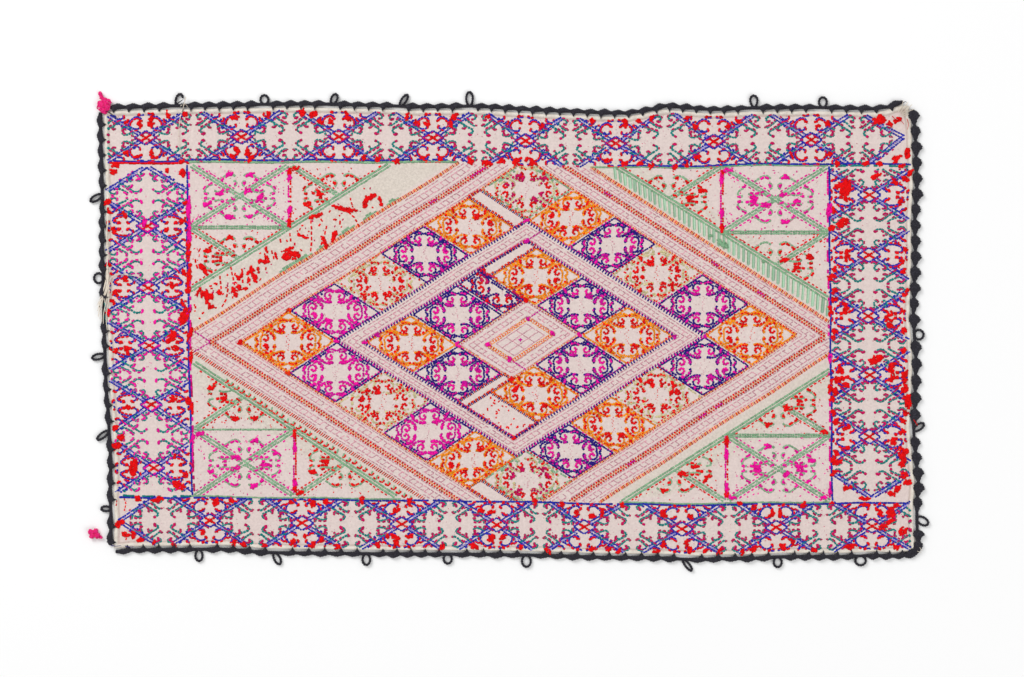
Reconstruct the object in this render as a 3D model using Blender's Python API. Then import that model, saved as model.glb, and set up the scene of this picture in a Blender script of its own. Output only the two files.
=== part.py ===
"""Embroidered pillow panel, lying flat with its face up.

A cream cotton panel with a turned hem, a knotted black wool edging on its four
sides, button loops along that edging, and two pink wool trims at its corners.
Metres, +Z up.  The origin is on the flat underside, at the panel's middle; +X
runs along the panel's length and +Y across it.
"""
import math
from collections import namedtuple

import bmesh
import bpy
import numpy as np

MM = 0.001

# Driving dimensions, in metres
PANEL_LENGTH = 0.892       # between the middle lines of the left and right edgings
PANEL_WIDTH = 0.492        # between the middle lines of the top and bottom edgings
FIELD_THICKNESS = 0.0016   # ground cloth with its embroidery
HEM_THICKNESS = 0.0022     # the cloth turned double
HEM_WIDTH = 0.0065         # hem that shows inside the edging
HEM_STEP = 0.0008          # slope from the hem down to the field
GAP = 0.0003               # clearance between pieces that touch
LOOP_GAP = 0.0007          # the same at a loop's root, where the edging slants a little
YARN = 0.0023              # thickness of a loop's yarn
LOOP_NECK = 0.0125         # length of plain edging where a loop springs
LOOP_SPANS = 14            # straight pieces round one loop
YARN_SIDES = 6

# One knotted scallop of the edging, from one neck to the next.  phase runs from
# 0 to 1 along it; outer, inner and height are in millimetres.
Knot = namedtuple("Knot", "phase outer inner height")
SCALLOP = [Knot(0.00, 1.8, 1.9, 2.6),
           Knot(0.20, 3.0, 4.0, 4.0),
           Knot(0.46, 4.1, 2.4, 4.4)]
ACORN = [Knot(0.00, 1.5, 1.6, 2.6),
         Knot(0.24, 4.2, 4.7, 4.4),
         Knot(0.58, 4.6, 3.0, 4.4)]

# A side of the panel: the scallop it is worked in, the scallops' length, and
# where along the side the edging begins and ends.
Side = namedtuple("Side", "knots pitch start end")
SIDES = {"top": Side(SCALLOP, 15.2 * MM, -439.2 * MM, 432.0 * MM),
         "right": Side(ACORN, 18.0 * MM, -232.5 * MM, 242.5 * MM),
         "bottom": Side(SCALLOP, 17.0 * MM, -433.6 * MM, 433.0 * MM),
         "left": Side(SCALLOP, 17.4 * MM, -236.5 * MM, 239.3 * MM)}

# Stretches of an edging worn down to plain yarn, in millimetres along its side
Worn = namedtuple("Worn", "side start end")
WORN = [Worn("top", -359.0, -354.0), Worn("left", 12.0, 32.0), Worn("right", -219.5, -212.0)]

# How far each side strays outwards from a straight line, in millimetres.  along
# is X on the top and bottom sides and Y on the left and right sides.
Stray = namedtuple("Stray", "along out")
STRAY = {
    "top": [Stray(-440, -1.2), Stray(-354, 1.0), Stray(-221, 3.0), Stray(-141, 1.1),
            Stray(-108, -0.4), Stray(-33, 0.3), Stray(26, -3.6), Stray(105, -7.0),
            Stray(130, -7.4), Stray(151, -4.0), Stray(172, 0.8), Stray(223, -3.6),
            Stray(268, -1.6), Stray(330, -1.0), Stray(400, -2.5), Stray(414, -1.0),
            Stray(432, 5.0)],
    "right": [Stray(-233, 3.0), Stray(-215, 1.6), Stray(-190, 1.4), Stray(-170, 3.4), Stray(-151, 1.4),
              Stray(-107, -2.5), Stray(-86, -0.9), Stray(-34, 0.6), Stray(14, -2.5),
              Stray(85, -0.2), Stray(121, -0.9), Stray(155, 1.4), Stray(200, 0.4),
              Stray(223, -0.9), Stray(243, -3.8)],
    "bottom": [Stray(-434, -2.0), Stray(-415, -4.0), Stray(-310, -5.0), Stray(-273, -1.2),
               Stray(-140, 0.4), Stray(-36, 0.8), Stray(34, 1.9), Stray(92, 4.0),
               Stray(160, 4.6), Stray(208, 7.0), Stray(222, 5.7), Stray(275, 5.1),
               Stray(295, 3.5), Stray(367, 3.5), Stray(398, 1.9), Stray(418, 3.0),
               Stray(434, 1.4)],
    "left": [Stray(-236, -6.4), Stray(-209, -7.3), Stray(-179, -6.0), Stray(-146, -7.0),
             Stray(-88, -3.8), Stray(-64, -1.6), Stray(-29, -0.5), Stray(42, 1.9),
             Stray(60, 1.2), Stray(75, 2.7), Stray(143, 2.3), Stray(198, 3.9),
             Stray(239, 4.6)]}

# The button loops, in millimetres and degrees.  along is where a loop springs
# from its side, length is from the edging's middle line to its outer end, lean
# tips it towards greater along, and pinch draws its root together.
Loop = namedtuple("Loop", "name side along length width lean pinch")
LOOPS = [Loop("loop_top_1", "top", -366.0, 14.2, 9.6, 18, 0.2),
         Loop("loop_top_2", "top", -270.0, 10.8, 10.8, 0, 0.0),
         Loop("loop_top_3", "top", -196.0, 12.8, 9.0, 25, 0.2),
         Loop("loop_top_4", "top", -121.0, 15.6, 7.8, 34, 0.2),
         Loop("loop_top_5", "top", -44.5, 16.3, 9.8, 0, 0.2),
         Loop("loop_top_6", "top", 268.5, 14.2, 11.2, -3, 0.5),
         Loop("loop_top_7", "top", 344.0, 12.0, 10.9, 0, 0.1),
         Loop("loop_right_1", "right", -5.2, 10.8, 12.6, 0, 0.0),
         Loop("loop_right_2", "right", -111.0, 14.4, 8.4, 36, 0.2),
         Loop("loop_right_3", "right", -206.5, 14.6, 10.6, -30, 0.1),
         Loop("loop_bottom_1", "bottom", -342.0, 13.5, 10.6, 0, 0.3),
         Loop("loop_bottom_2", "bottom", -259.5, 14.8, 9.0, 28, 0.2),
         Loop("loop_bottom_3", "bottom", -158.0, 12.9, 10.6, 0, 0.1),
         Loop("loop_bottom_4", "bottom", -68.5, 11.0, 11.0, 0, 0.0),
         Loop("loop_bottom_5", "bottom", 18.0, 13.6, 12.0, 0, 0.1),
         Loop("loop_bottom_6", "bottom", 190.0, 16.5, 7.0, 38, 0.2),
         Loop("loop_bottom_7", "bottom", 294.3, 12.0, 11.0, 0, 0.1),
         Loop("loop_bottom_8", "bottom", 385.4, 11.0, 13.6, 0, 0.0),
         Loop("loop_left_1", "left", 149.0, 15.4, 8.4, -30, 0.2),
         Loop("loop_left_2", "left", 57.0, 10.8, 13.0, 0, 0.0),
         Loop("loop_left_3", "left", -27.5, 15.0, 8.4, -14, 0.2),
         Loop("loop_left_4", "left", -110.5, 17.0, 7.8, -38, 0.2),
         Loop("loop_left_5", "left", -196.5, 11.0, 7.4, 0, 0.0)]

# Corners of the cloth that the edging leaves bare, past the clockwise end of a
# side, as places in millimetres.
BARE_CORNERS = {"top": [(434.6, 252.6), (440.2, 250.4), (443.4, 246.0), (439.0, 243.6)],
                "bottom": [(-434.2, -244.6), (-440.6, -243.4), (-443.0, -238.4)]}

# The turn of the edging round the bottom-right corner, two scallops long
TURN_RADIUS = 0.0150
TURN_SCALLOPS = 2

CORNER_CUT = 0.0200        # distance from a corner at which the field's outline turns

# The pink wool trims, as rings along their length.  x and y place a ring's
# middle, across and height are its size, all in millimetres.
Ring = namedtuple("Ring", "x y across height")
TASSEL = [Ring(-446.3, 240.9, 9.0, 3.4), Ring(-446.0, 243.4, 12.0, 5.8),
          Ring(-446.2, 247.4, 12.6, 7.0), Ring(-446.6, 251.4, 11.0, 6.2),
          Ring(-447.6, 254.0, 5.6, 4.2), Ring(-449.0, 256.2, 2.6, 2.6),
          Ring(-450.0, 259.0, 4.0, 3.0), Ring(-450.4, 260.8, 2.4, 2.0)]
TUFT = [Ring(-447.4, -228.2, 1.2, 1.2), Ring(-449.4, -228.0, 3.6, 2.6),
        Ring(-453.0, -226.4, 8.0, 5.0), Ring(-457.6, -224.2, 10.2, 5.6),
        Ring(-461.2, -224.0, 8.2, 4.4), Ring(-463.4, -223.8, 3.6, 2.2)]
RING_SIDES = 8

# Colour and roughness of the three materials; nothing here is metal
Finish = namedtuple("Finish", "colour roughness")
COTTON = Finish((0.76, 0.70, 0.63, 1.0), 0.9)
BLACK_WOOL = Finish((0.025, 0.022, 0.028, 1.0), 0.85)
PINK_WOOL = Finish((1.0, 0.005, 0.28, 1.0), 0.85)


def clear_scene():
    """Remove every object, so that the file starts empty."""
    for item in list(bpy.data.objects):
        bpy.data.objects.remove(item, do_unlink=True)


def add_object(name, mesh_source, finish):
    """Turn a bmesh into a named object with a material of its own."""
    bmesh.ops.recalc_face_normals(mesh_source, faces=mesh_source.faces[:])
    mesh = bpy.data.meshes.new(name)
    mesh_source.to_mesh(mesh)
    mesh_source.free()
    material = bpy.data.materials.new(name)
    material.use_nodes = True
    shader = material.node_tree.nodes["Principled BSDF"]
    shader.inputs["Base Color"].default_value = finish.colour
    shader.inputs["Roughness"].default_value = finish.roughness
    shader.inputs["Metallic"].default_value = 0.0
    mesh.materials.append(material)
    item = bpy.data.objects.new(name, mesh)
    bpy.context.collection.objects.link(item)
    return item


def tube(rings):
    """A closed body through rings of points, one array of rows for each ring."""
    body = bmesh.new()
    loops = [[body.verts.new(point) for point in ring] for ring in rings]
    for first, second in zip(loops, loops[1:]):
        for here in range(len(first)):
            there = (here + 1) % len(first)
            body.faces.new((first[here], first[there], second[there], second[here]))
    body.faces.new(loops[0])
    body.faces.new(reversed(loops[-1]))
    return body


def place(side, along, out):
    """Points of a side, from their distance along it and outwards of its straight line."""
    if side in ("top", "bottom"):
        sign = 1.0 if side == "top" else -1.0
        return np.column_stack([along, sign * (PANEL_WIDTH / 2 + out)])
    sign = 1.0 if side == "right" else -1.0
    return np.column_stack([sign * (PANEL_LENGTH / 2 + out), along])


def stray(side, along):
    """How far a side strays outwards at each place along it: straight between its rows."""
    rows = STRAY[side]
    return np.interp(along, [row.along * MM for row in rows], [row.out * MM for row in rows])


def necks(side):
    """Cut a side where its scallops meet, leaving it plain at each loop and where it is worn.

    Returns the cuts along the side and, for each stretch between two of them,
    whether it is a scallop."""
    layout = SIDES[side]
    plain = [(loop.along * MM - LOOP_NECK / 2, loop.along * MM + LOOP_NECK / 2)
             for loop in LOOPS if loop.side == side]
    plain += [(worn.start * MM, worn.end * MM) for worn in WORN if worn.side == side]
    cuts = [layout.start]
    worked = []
    for low, high in sorted(plain) + [(layout.end, layout.end)]:
        run = low - cuts[-1]
        if run > 0:
            count = max(1, round(run / layout.pitch))
            cuts.extend(np.linspace(cuts[-1], low, count + 1)[1:])
            worked.extend([True] * count)
        if high > low:
            cuts.append(high)
            worked.append(False)
    return np.array(cuts), worked


def middle_line(side):
    """The cuts of a side as points on the edging's middle line, clockwise from above."""
    along, worked = necks(side)
    points = place(side, along, stray(side, along))
    if side in ("right", "bottom"):
        points, worked = points[::-1], worked[::-1]
    if side == "right":
        centre = points[-1] - [TURN_RADIUS, 0.0]
        angles = -math.pi / 2 * np.arange(1, TURN_SCALLOPS + 1) / TURN_SCALLOPS
        turn = centre + TURN_RADIUS * np.column_stack([np.cos(angles), np.sin(angles)])
        points = np.vstack([points, turn])
        worked = worked + [True] * TURN_SCALLOPS
    return points, worked


def outward(points):
    """A mitred outward direction at each point of a clockwise line."""
    runs = np.diff(points, axis=0)
    runs /= np.linalg.norm(runs, axis=1)[:, None]
    normals = np.column_stack([-runs[:, 1], runs[:, 0]])
    before = np.vstack([normals[:1], normals])
    after = np.vstack([normals, normals[-1:]])
    mitre = before + after
    return mitre / (1.0 + np.sum(before * after, axis=1))[:, None]


def edging_rings(side):
    """Four-cornered sections along a side's edging, wider and higher in each scallop."""
    points, worked = middle_line(side)
    mitres = outward(points)
    knots = SIDES[side].knots
    rings = []
    for index, scallop in enumerate(worked):
        for row in knots if scallop else knots[:1]:
            spot = points[index] + (points[index + 1] - points[index]) * row.phase
            mitre = mitres[index] + (mitres[index + 1] - mitres[index]) * row.phase
            rings.append(edging_section(spot, mitre, row))
    rings.append(edging_section(points[-1], mitres[-1], knots[0]))
    return rings


def edging_section(spot, mitre, row):
    """One section of the edging: flat below, narrower on top."""
    crown = 0.6
    corners = [(-row.inner, 0.0), (row.outer, 0.0),
               (crown * row.outer, row.height), (-crown * row.inner, row.height)]
    return [(*(spot + mitre * out * MM), height * MM) for out, height in corners]


def cloth_inset(side):
    """Distance from the edging's middle line to the cloth's edge."""
    return max(row.inner for row in SIDES[side].knots) * MM + GAP


def cloth_edge():
    """The cloth's own edge, clockwise from above, with the corners that the edging leaves bare.

    Returns its points, the way inwards from each, and which of them have the field beside them."""
    edge, inwards, beside = [], [], []
    for side, axis, half in (("top", 0, PANEL_LENGTH / 2), ("right", 1, PANEL_WIDTH / 2),
                             ("bottom", 0, PANEL_LENGTH / 2), ("left", 1, PANEL_WIDTH / 2)):
        points, _ = middle_line(side)
        inward = -outward(points)
        line = points + inward * cloth_inset(side)
        bare = np.array(BARE_CORNERS.get(side, np.empty((0, 2)))) * MM
        edge += [line, bare]
        inwards += [inward, np.zeros_like(bare)]
        beside += [np.abs(line[:, axis]) < half - CORNER_CUT, np.zeros(len(bare), dtype=bool)]
    return np.vstack(edge), np.vstack(inwards), np.concatenate(beside)


def skirt(body, lower, upper):
    """Faces between two rings of as many points."""
    for here in range(len(lower)):
        there = (here + 1) % len(lower)
        body.faces.new((lower[here], lower[there], upper[there], upper[here]))


def hem_top(body, outer, inner, beside):
    """Faces from the cloth's edge to the field: one for each pair of points, and one for each corner."""
    kept = [index for index, flag in enumerate(beside) if flag]
    for step, here in enumerate(kept):
        there = kept[(step + 1) % len(kept)]
        count = (there - here) % len(outer)
        rim = [outer[(here + index) % len(outer)] for index in range(count + 1)]
        body.faces.new(rim + [inner[(step + 1) % len(kept)], inner[step]])


def panel_cloth():
    """The cloth: a flat underside, a thick hem all round and a thinner field inside it."""
    body = bmesh.new()
    edge, inwards, beside = cloth_edge()
    levels = [(edge, 0.0), (edge, HEM_THICKNESS),
              ((edge + inwards * HEM_WIDTH)[beside], HEM_THICKNESS),
              ((edge + inwards * (HEM_WIDTH + HEM_STEP))[beside], FIELD_THICKNESS)]
    rings = [[body.verts.new((x, y, height)) for x, y in outline] for outline, height in levels]
    skirt(body, rings[0], rings[1])
    hem_top(body, rings[1], rings[2], beside)
    skirt(body, rings[2], rings[3])
    body.faces.new(rings[0])
    body.faces.new(rings[3])
    bmesh.ops.triangulate(body, faces=[face for face in body.faces if len(face.verts) > 4])
    add_object("panel_cloth", body, COTTON)


def edging(side):
    """One side's run of knotted black yarn."""
    add_object("edging_" + side, tube(edging_rings(side)), BLACK_WOOL)


def loop_line(loop, turn):
    """Middle line of a loop at angles round it, as distances along its side and outwards.

    An ellipse from root to tip, its sides drawn together near the root by the
    sine of half the angle to the power of pinch, then tipped by lean."""
    rise = (loop.length * MM - YARN / 2) * (1.0 - np.cos(turn)) / 2
    reach = (loop.width * MM - YARN) / 2 * np.sin(turn) * np.abs(np.sin(turn / 2)) ** loop.pinch
    lean = math.radians(loop.lean)
    across = reach * math.cos(lean) + rise * math.sin(lean)
    return np.column_stack([across, rise * math.cos(lean) - reach * math.sin(lean)])


def loop_sections(loop, turn):
    """Rings of points round the yarn of a loop, resting flat on the ground."""
    line = loop_line(loop, turn)
    step = 0.001
    runs = loop_line(loop, turn + step) - loop_line(loop, turn - step)
    runs /= np.linalg.norm(runs, axis=1)[:, None]
    side_way = np.column_stack([-runs[:, 1], runs[:, 0]])
    angles = 2 * math.pi * (np.arange(YARN_SIDES) + 0.5) / YARN_SIDES
    flat = YARN / 2 * math.cos(math.pi / YARN_SIDES)
    sections = []
    for angle in angles:
        spread = line + side_way * YARN / 2 * math.sin(angle)
        height = np.full(len(turn), flat + YARN / 2 * math.cos(angle))
        sections.append(np.column_stack([spread, height]))
    return np.stack(sections, axis=1)


def button_loop(loop):
    """One button loop: yarn from the edging's outer face, round, and back to it."""
    face = SIDES[loop.side].knots[0].outer * MM + LOOP_GAP
    turns = np.linspace(0.0, 2 * math.pi, 721)[1:-1]
    clear = loop_sections(loop, turns)[:, :, 1].min(axis=1) > face
    turn = np.linspace(turns[clear][0], turns[clear][-1], LOOP_SPANS + 1)
    rings = []
    for section in loop_sections(loop, turn):
        along = loop.along * MM + section[:, 0]
        ground = stray(loop.side, np.array([loop.along * MM]))
        spots = place(loop.side, along, ground + section[:, 1])
        rings.append(np.column_stack([spots, section[:, 2]]))
    add_object(loop.name, tube(rings), BLACK_WOOL)


def wool_rings(rows):
    """Flat-bottomed oval rings across a line of rows."""
    line = np.array([(row.x, row.y) for row in rows])
    runs = np.gradient(line, axis=0)
    runs /= np.linalg.norm(runs, axis=1)[:, None]
    angles = 2 * math.pi * (np.arange(RING_SIDES) + 0.5) / RING_SIDES
    flat = math.cos(math.pi / RING_SIDES)
    rings = []
    for row, (run_x, run_y) in zip(rows, runs):
        spread = row.across / 2 * np.sin(angles)
        height = row.height / 2 * (1.0 + np.cos(angles) / flat)
        rings.append(np.column_stack([row.x - run_y * spread, row.y + run_x * spread, height]) * MM)
    return rings


def wool_trim(name, rows):
    """A pink wool trim, lying on the ground."""
    add_object(name, tube(wool_rings(rows)), PINK_WOOL)


clear_scene()
panel_cloth()
for side_name in SIDES:
    edging(side_name)
for button in LOOPS:
    button_loop(button)
wool_trim("corner_tassel", TASSEL)
wool_trim("corner_tuft", TUFT)
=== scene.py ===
"""Looks of the embroidered pillow panel: cloth, stitches, wool edging, button loops and frayed ends.

Tables and shapes are in millimetres unless a comment says otherwise, and in the
frame of the CAD model: +X along the panel, +Y across it, +Z up, underside at 0.
"""
from collections import namedtuple

import bpy
import numpy as np
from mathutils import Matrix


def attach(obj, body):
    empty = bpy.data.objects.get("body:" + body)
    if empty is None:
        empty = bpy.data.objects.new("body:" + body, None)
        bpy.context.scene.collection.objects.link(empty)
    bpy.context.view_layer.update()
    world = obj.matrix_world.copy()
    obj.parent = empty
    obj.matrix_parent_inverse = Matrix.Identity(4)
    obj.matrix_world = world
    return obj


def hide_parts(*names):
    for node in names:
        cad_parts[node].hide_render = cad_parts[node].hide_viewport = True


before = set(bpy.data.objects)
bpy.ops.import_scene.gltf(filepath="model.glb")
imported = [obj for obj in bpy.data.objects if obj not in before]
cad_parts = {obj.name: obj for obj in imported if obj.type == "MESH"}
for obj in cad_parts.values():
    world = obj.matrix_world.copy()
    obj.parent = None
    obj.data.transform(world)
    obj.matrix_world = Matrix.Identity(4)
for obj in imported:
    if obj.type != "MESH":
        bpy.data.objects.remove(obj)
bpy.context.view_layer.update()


# ---- Floor, light and camera -------------------------------------------------
# The panel lies on a plain white table under two large soft lights, and the
# camera looks straight down on it from a little over three metres.
MM = 0.001                 # in metres


def linear(code):
    """sRGB hex text to linear colour: c / 12.92 below 0.04045, else ((c + 0.055) / 1.055) to the 2.4."""
    part = np.array([int(code[start:start + 2], 16) for start in (1, 3, 5)]) / 255.0
    light = np.where(part <= 0.04045, part / 12.92, ((part + 0.055) / 1.055) ** 2.4)
    return (*light.tolist(), 1.0)


def node(tree, kind, inputs=(), **settings):
    """Add a node with its settings; each input is linked if it is a socket, and set if it is a value."""
    made = tree.nodes.new(kind)
    for name, value in settings.items():
        setattr(made, name, value)
    for name, value in dict(inputs).items():
        if isinstance(value, bpy.types.NodeSocket):
            tree.links.new(value, made.inputs[name])
        else:
            made.inputs[name].default_value = value
    return made


def new_material(name, finish):
    """An empty material, its tree, and its shader, set as its finish says and linked to the output."""
    material = bpy.data.materials.new(name)
    material.use_nodes = True
    tree = material.node_tree
    tree.nodes.clear()
    shader = node(tree, "ShaderNodeBsdfPrincipled", finish)
    node(tree, "ShaderNodeOutputMaterial", {"Surface": shader.outputs["BSDF"]})
    return material, tree, shader


def mesh_piece(name, points, faces, material, smooth=True):
    """An object from whole arrays: points in millimetres, faces as rows of corners that look outwards."""
    mesh = bpy.data.meshes.new(name)
    mesh.from_pydata(points * MM, [], faces)
    if smooth:
        mesh.shade_smooth()
    else:
        mesh.shade_flat()
    mesh.materials.append(material)
    piece = bpy.data.objects.new(name, mesh)
    bpy.context.collection.objects.link(piece)
    return piece


TABLE_SIZE = 8000.0
TABLE_LEVEL = -0.4         # just under the panel
ROOM_LIGHT = 0.62
CAMERA_LENS = 100.0
CAMERA_SENSOR = 36.0
VIEW_WIDTH = 1126.4        # width of the table that the camera sees
VIEW_MIDDLE = (2.2, -9.35)

# Matt white paint, rolled on: it gives no reflection, only a soft shadow under the edging.
table_finish = {"Base Color": linear("#F7F7F7"), "Roughness": 0.9}
table_paint = new_material("white_table_paint_rolled", table_finish)[0]
table_points = np.array([(x * TABLE_SIZE / 2, y * TABLE_SIZE / 2, TABLE_LEVEL)
                         for x, y in ((-1, -1), (1, -1), (1, 1), (-1, 1))])
mesh_piece("white_table", table_points, [(0, 1, 2, 3)], table_paint, smooth=False)

scene = bpy.context.scene
scene.view_settings.view_transform = "Standard"
world = bpy.data.worlds.new("soft_room")
world.use_nodes = True
room = world.node_tree.nodes["Background"]
room.inputs["Color"].default_value = (1.0, 1.0, 1.0, 1.0)
room.inputs["Strength"].default_value = ROOM_LIGHT
scene.world = world


def soft_light(name, spot, size, watts):
    """A square soft light, its place and size in metres, turned to face the panel's middle."""
    lamp = bpy.data.lights.new(name, "AREA")
    lamp.size = size
    lamp.energy = watts
    holder = bpy.data.objects.new(name, lamp)
    holder.location = spot
    holder.rotation_euler = (-holder.location).to_track_quat("-Z", "Y").to_euler()
    bpy.context.collection.objects.link(holder)


soft_light("window_light", (-2.2, 2.4, 2.6), 1.6, 90.0)
soft_light("fill_light", (2.6, -1.8, 2.8), 2.4, 45.0)

eye = bpy.data.cameras.new("copy_stand")
eye.lens = CAMERA_LENS
eye.sensor_width = CAMERA_SENSOR
eye_holder = bpy.data.objects.new("copy_stand", eye)
eye_height = VIEW_WIDTH * CAMERA_LENS / CAMERA_SENSOR
eye_holder.location = (VIEW_MIDDLE[0] * MM, VIEW_MIDDLE[1] * MM, eye_height * MM)
bpy.context.collection.objects.link(eye_holder)
scene.camera = eye_holder


# ---- Cotton panel ------------------------------------------------------------
# The ground is one piece of plain-woven cream cotton. Its edges are turned to
# the face in a narrow hem, which the wool edging is hooked through.
ROOT = "root"              # the one body that the whole panel rides on
PANEL_LENGTH = 892.0
PANEL_WIDTH = 492.0
FIELD_THICKNESS = 1.6
HEM_THICKNESS = 2.2
CLOTH_INSET = 4.3          # from the edging's middle line to the cloth's own edge
HEM_WIDTH = 3.2            # hem that shows inside the edging
HEM_FOLD = 1.4             # rounded fold from the hem down to the field
PUFF = 15.2                # length of hem between two teeth of the edging
PUFF_HEIGHT = 0.9
WEAVE = 1.1                # one thread and its gap, twice the real weave so that it shows
WORKED_BLUSH = 0.35        # share of pink dye in the ground's colour where it is embroidered
PLAIN_BLUSH = 0.05         # and where it is plain
SLUBS = 420.0              # uneven spots of the yarn in a metre, each about 2.4 mm
CLOUDS = 9.0               # patches warmed by age in a metre, each about 110 mm
# The great lozenge's middle, its half axes out to the plain strips, and half the field inside the bands.
LOZENGE_MIDDLE = (7.7, -9.7)
LOZENGE_HALF = (374.0, 237.0)
FIELD_HALF = (351.0, 184.0)

# How far each side strays outwards from a true rectangle: the place along it, then how far.
STRAY = {
    "top": [(-440, -1.2), (-354, 1.0), (-221, 3.0), (-141, 1.1), (-108, -0.4), (-33, 0.3), (26, -3.6),
            (105, -7.0), (130, -7.4), (151, -4.0), (172, 0.8), (223, -3.6), (268, -1.6), (330, -1.0),
            (400, -2.5), (414, -1.0), (432, 5.0)],
    "right": [(-233, 3.0), (-215, 1.6), (-190, 1.4), (-170, 3.4), (-151, 1.4), (-107, -2.5), (-86, -0.9),
              (-34, 0.6), (14, -2.5), (85, -0.2), (121, -0.9), (155, 1.4), (200, 0.4), (223, -0.9),
              (243, -3.8)],
    "bottom": [(-434, -2.0), (-415, -4.0), (-310, -5.0), (-273, -1.2), (-140, 0.4), (-36, 0.8), (34, 1.9),
               (92, 4.0), (160, 4.6), (208, 7.0), (222, 5.7), (275, 5.1), (295, 3.5), (367, 3.5),
               (398, 1.9), (418, 3.0), (434, 1.4)],
    "left": [(-236, -6.4), (-209, -7.3), (-179, -6.0), (-146, -7.0), (-88, -3.8), (-64, -1.6),
             (-29, -0.5), (42, 1.9), (60, 1.2), (75, 2.7), (143, 2.3), (198, 3.9), (239, 4.6)]}


def stray(side, along):
    """How far a side strays outwards at each place along it: straight between its rows."""
    return np.interp(along, *np.transpose(STRAY[side]))


def settle(flat):
    """Move places on a true rectangle to the uneven panel.

    Each moves by the strays of the two sides it lies between, shared by its distance to them."""
    x, y = flat[..., 0], flat[..., 1]
    right = 0.5 + x / PANEL_LENGTH
    top = 0.5 + y / PANEL_WIDTH
    move_x = right * stray("right", y) - (1 - right) * stray("left", y)
    move_y = top * stray("top", x) - (1 - top) * stray("bottom", x)
    return np.stack([x + move_x, y + move_y], axis=-1)


def hem_parts(spots):
    """Depth in from the nearest edge of the cloth, how far the hem puffs up there, and its puffs' wave.

    The puffs lie between the edging's teeth: half waves along the edge, blunted, and a half wave
    across the hem."""
    x, y = spots[..., 0], spots[..., 1]
    depth = np.stack([PANEL_WIDTH / 2 + stray("top", x) - y,
                      PANEL_WIDTH / 2 + stray("bottom", x) + y,
                      PANEL_LENGTH / 2 + stray("right", y) - x,
                      PANEL_LENGTH / 2 + stray("left", y) + x]) - CLOTH_INSET
    along = np.where(depth[:2].min(axis=0) < depth[2:].min(axis=0), x, y)
    depth = np.maximum(depth.min(axis=0), 0.0)
    wave = np.abs(np.sin(np.pi * along / PUFF)) ** 0.6
    return depth, wave * np.sin(np.pi * np.clip(depth / (HEM_WIDTH + wave), 0, 1)), wave


def hem_rise(spots):
    """Extra height of the turned hem with its puffs: full until its fold, then down a quarter wave."""
    depth, puff, wave = hem_parts(spots)
    fall = np.clip((depth - HEM_WIDTH - 0.8 * wave + 0.6) / HEM_FOLD, 0.0, 1.0)
    return (HEM_THICKNESS - FIELD_THICKNESS + PUFF_HEIGHT * puff) * np.cos(fall * np.pi / 2)


def rise(spots):
    """Height of the cloth's face: thickness, three slow waves under half a millimetre, and the hem."""
    x, y = spots[..., 0], spots[..., 1]
    wave = (0.16 * np.sin(x / 23.0 + 1.7 * np.sin(y / 61.0))
            + 0.14 * np.sin(y / 17.0 + 2.1 * np.sin(x / 83.0)))
    small = 0.10 * np.sin((x + y) / 9.0) * np.sin((x - y) / 13.0)
    return FIELD_THICKNESS + wave + small + hem_rise(spots)


def cloth_grid():
    """The panel as a closed grid, its lines close together at the rim, over a flat underside."""
    near = np.array([0.0, 0.8, 1.6, 2.4, 3.2, 3.7, 4.2, 4.8, 5.6, 6.6, 8.0])
    half_x, half_y = PANEL_LENGTH / 2 - CLOTH_INSET, PANEL_WIDTH / 2 - CLOTH_INSET
    inner_x = np.linspace(near[-1] - half_x, half_x - near[-1], 262)
    inner_y = np.linspace(near[-1] - half_y, half_y - near[-1], 142)
    across = np.concatenate([near[:-1] - half_x, inner_x, half_x - near[-2::-1]])
    up = np.concatenate([near[:-1] - half_y, inner_y, half_y - near[-2::-1]])
    spots = settle(np.stack(np.meshgrid(across, up, indexing="xy"), axis=-1))
    face = np.concatenate([spots, rise(spots)[..., None]], axis=-1)
    under = np.concatenate([spots, np.zeros_like(spots[..., :1])], axis=-1)
    index = np.arange(spots[..., 0].size).reshape(spots.shape[:2])
    corner = [index[:-1, :-1], index[:-1, 1:], index[1:, 1:], index[1:, :-1]]
    top_faces = np.stack(corner, axis=-1).reshape(-1, 4)
    rim = np.concatenate([index[0, :-1], index[:-1, -1], index[-1, :0:-1], index[:0:-1, 0]])
    ahead = np.roll(rim, -1)
    wall = np.stack([rim + index.size, ahead + index.size, ahead, rim], axis=-1)
    points = np.concatenate([face.reshape(-1, 3), under.reshape(-1, 3)])
    return points, np.vstack([top_faces, top_faces[:, ::-1] + index.size, wall])


def blush(spots):
    """How far loose pink dye has spread: some in the worked parts, hardly any in the plain strips.

    The strips lie beside the great lozenge, where the summed shares of its two half axes run from
    1 to 1.18, and change over a fiftieth of them."""
    share = (np.abs(spots[:, :2] - LOZENGE_MIDDLE) / LOZENGE_HALF).sum(axis=1)
    inside = (np.abs(spots[:, :2]) < FIELD_HALF).all(axis=1)
    plain = np.clip((share - 1.0) / 0.02, 0.0, 1.0) * np.clip((1.18 - share) / 0.02, 0.0, 1.0) * inside
    return WORKED_BLUSH - (WORKED_BLUSH - PLAIN_BLUSH) * plain


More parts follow.
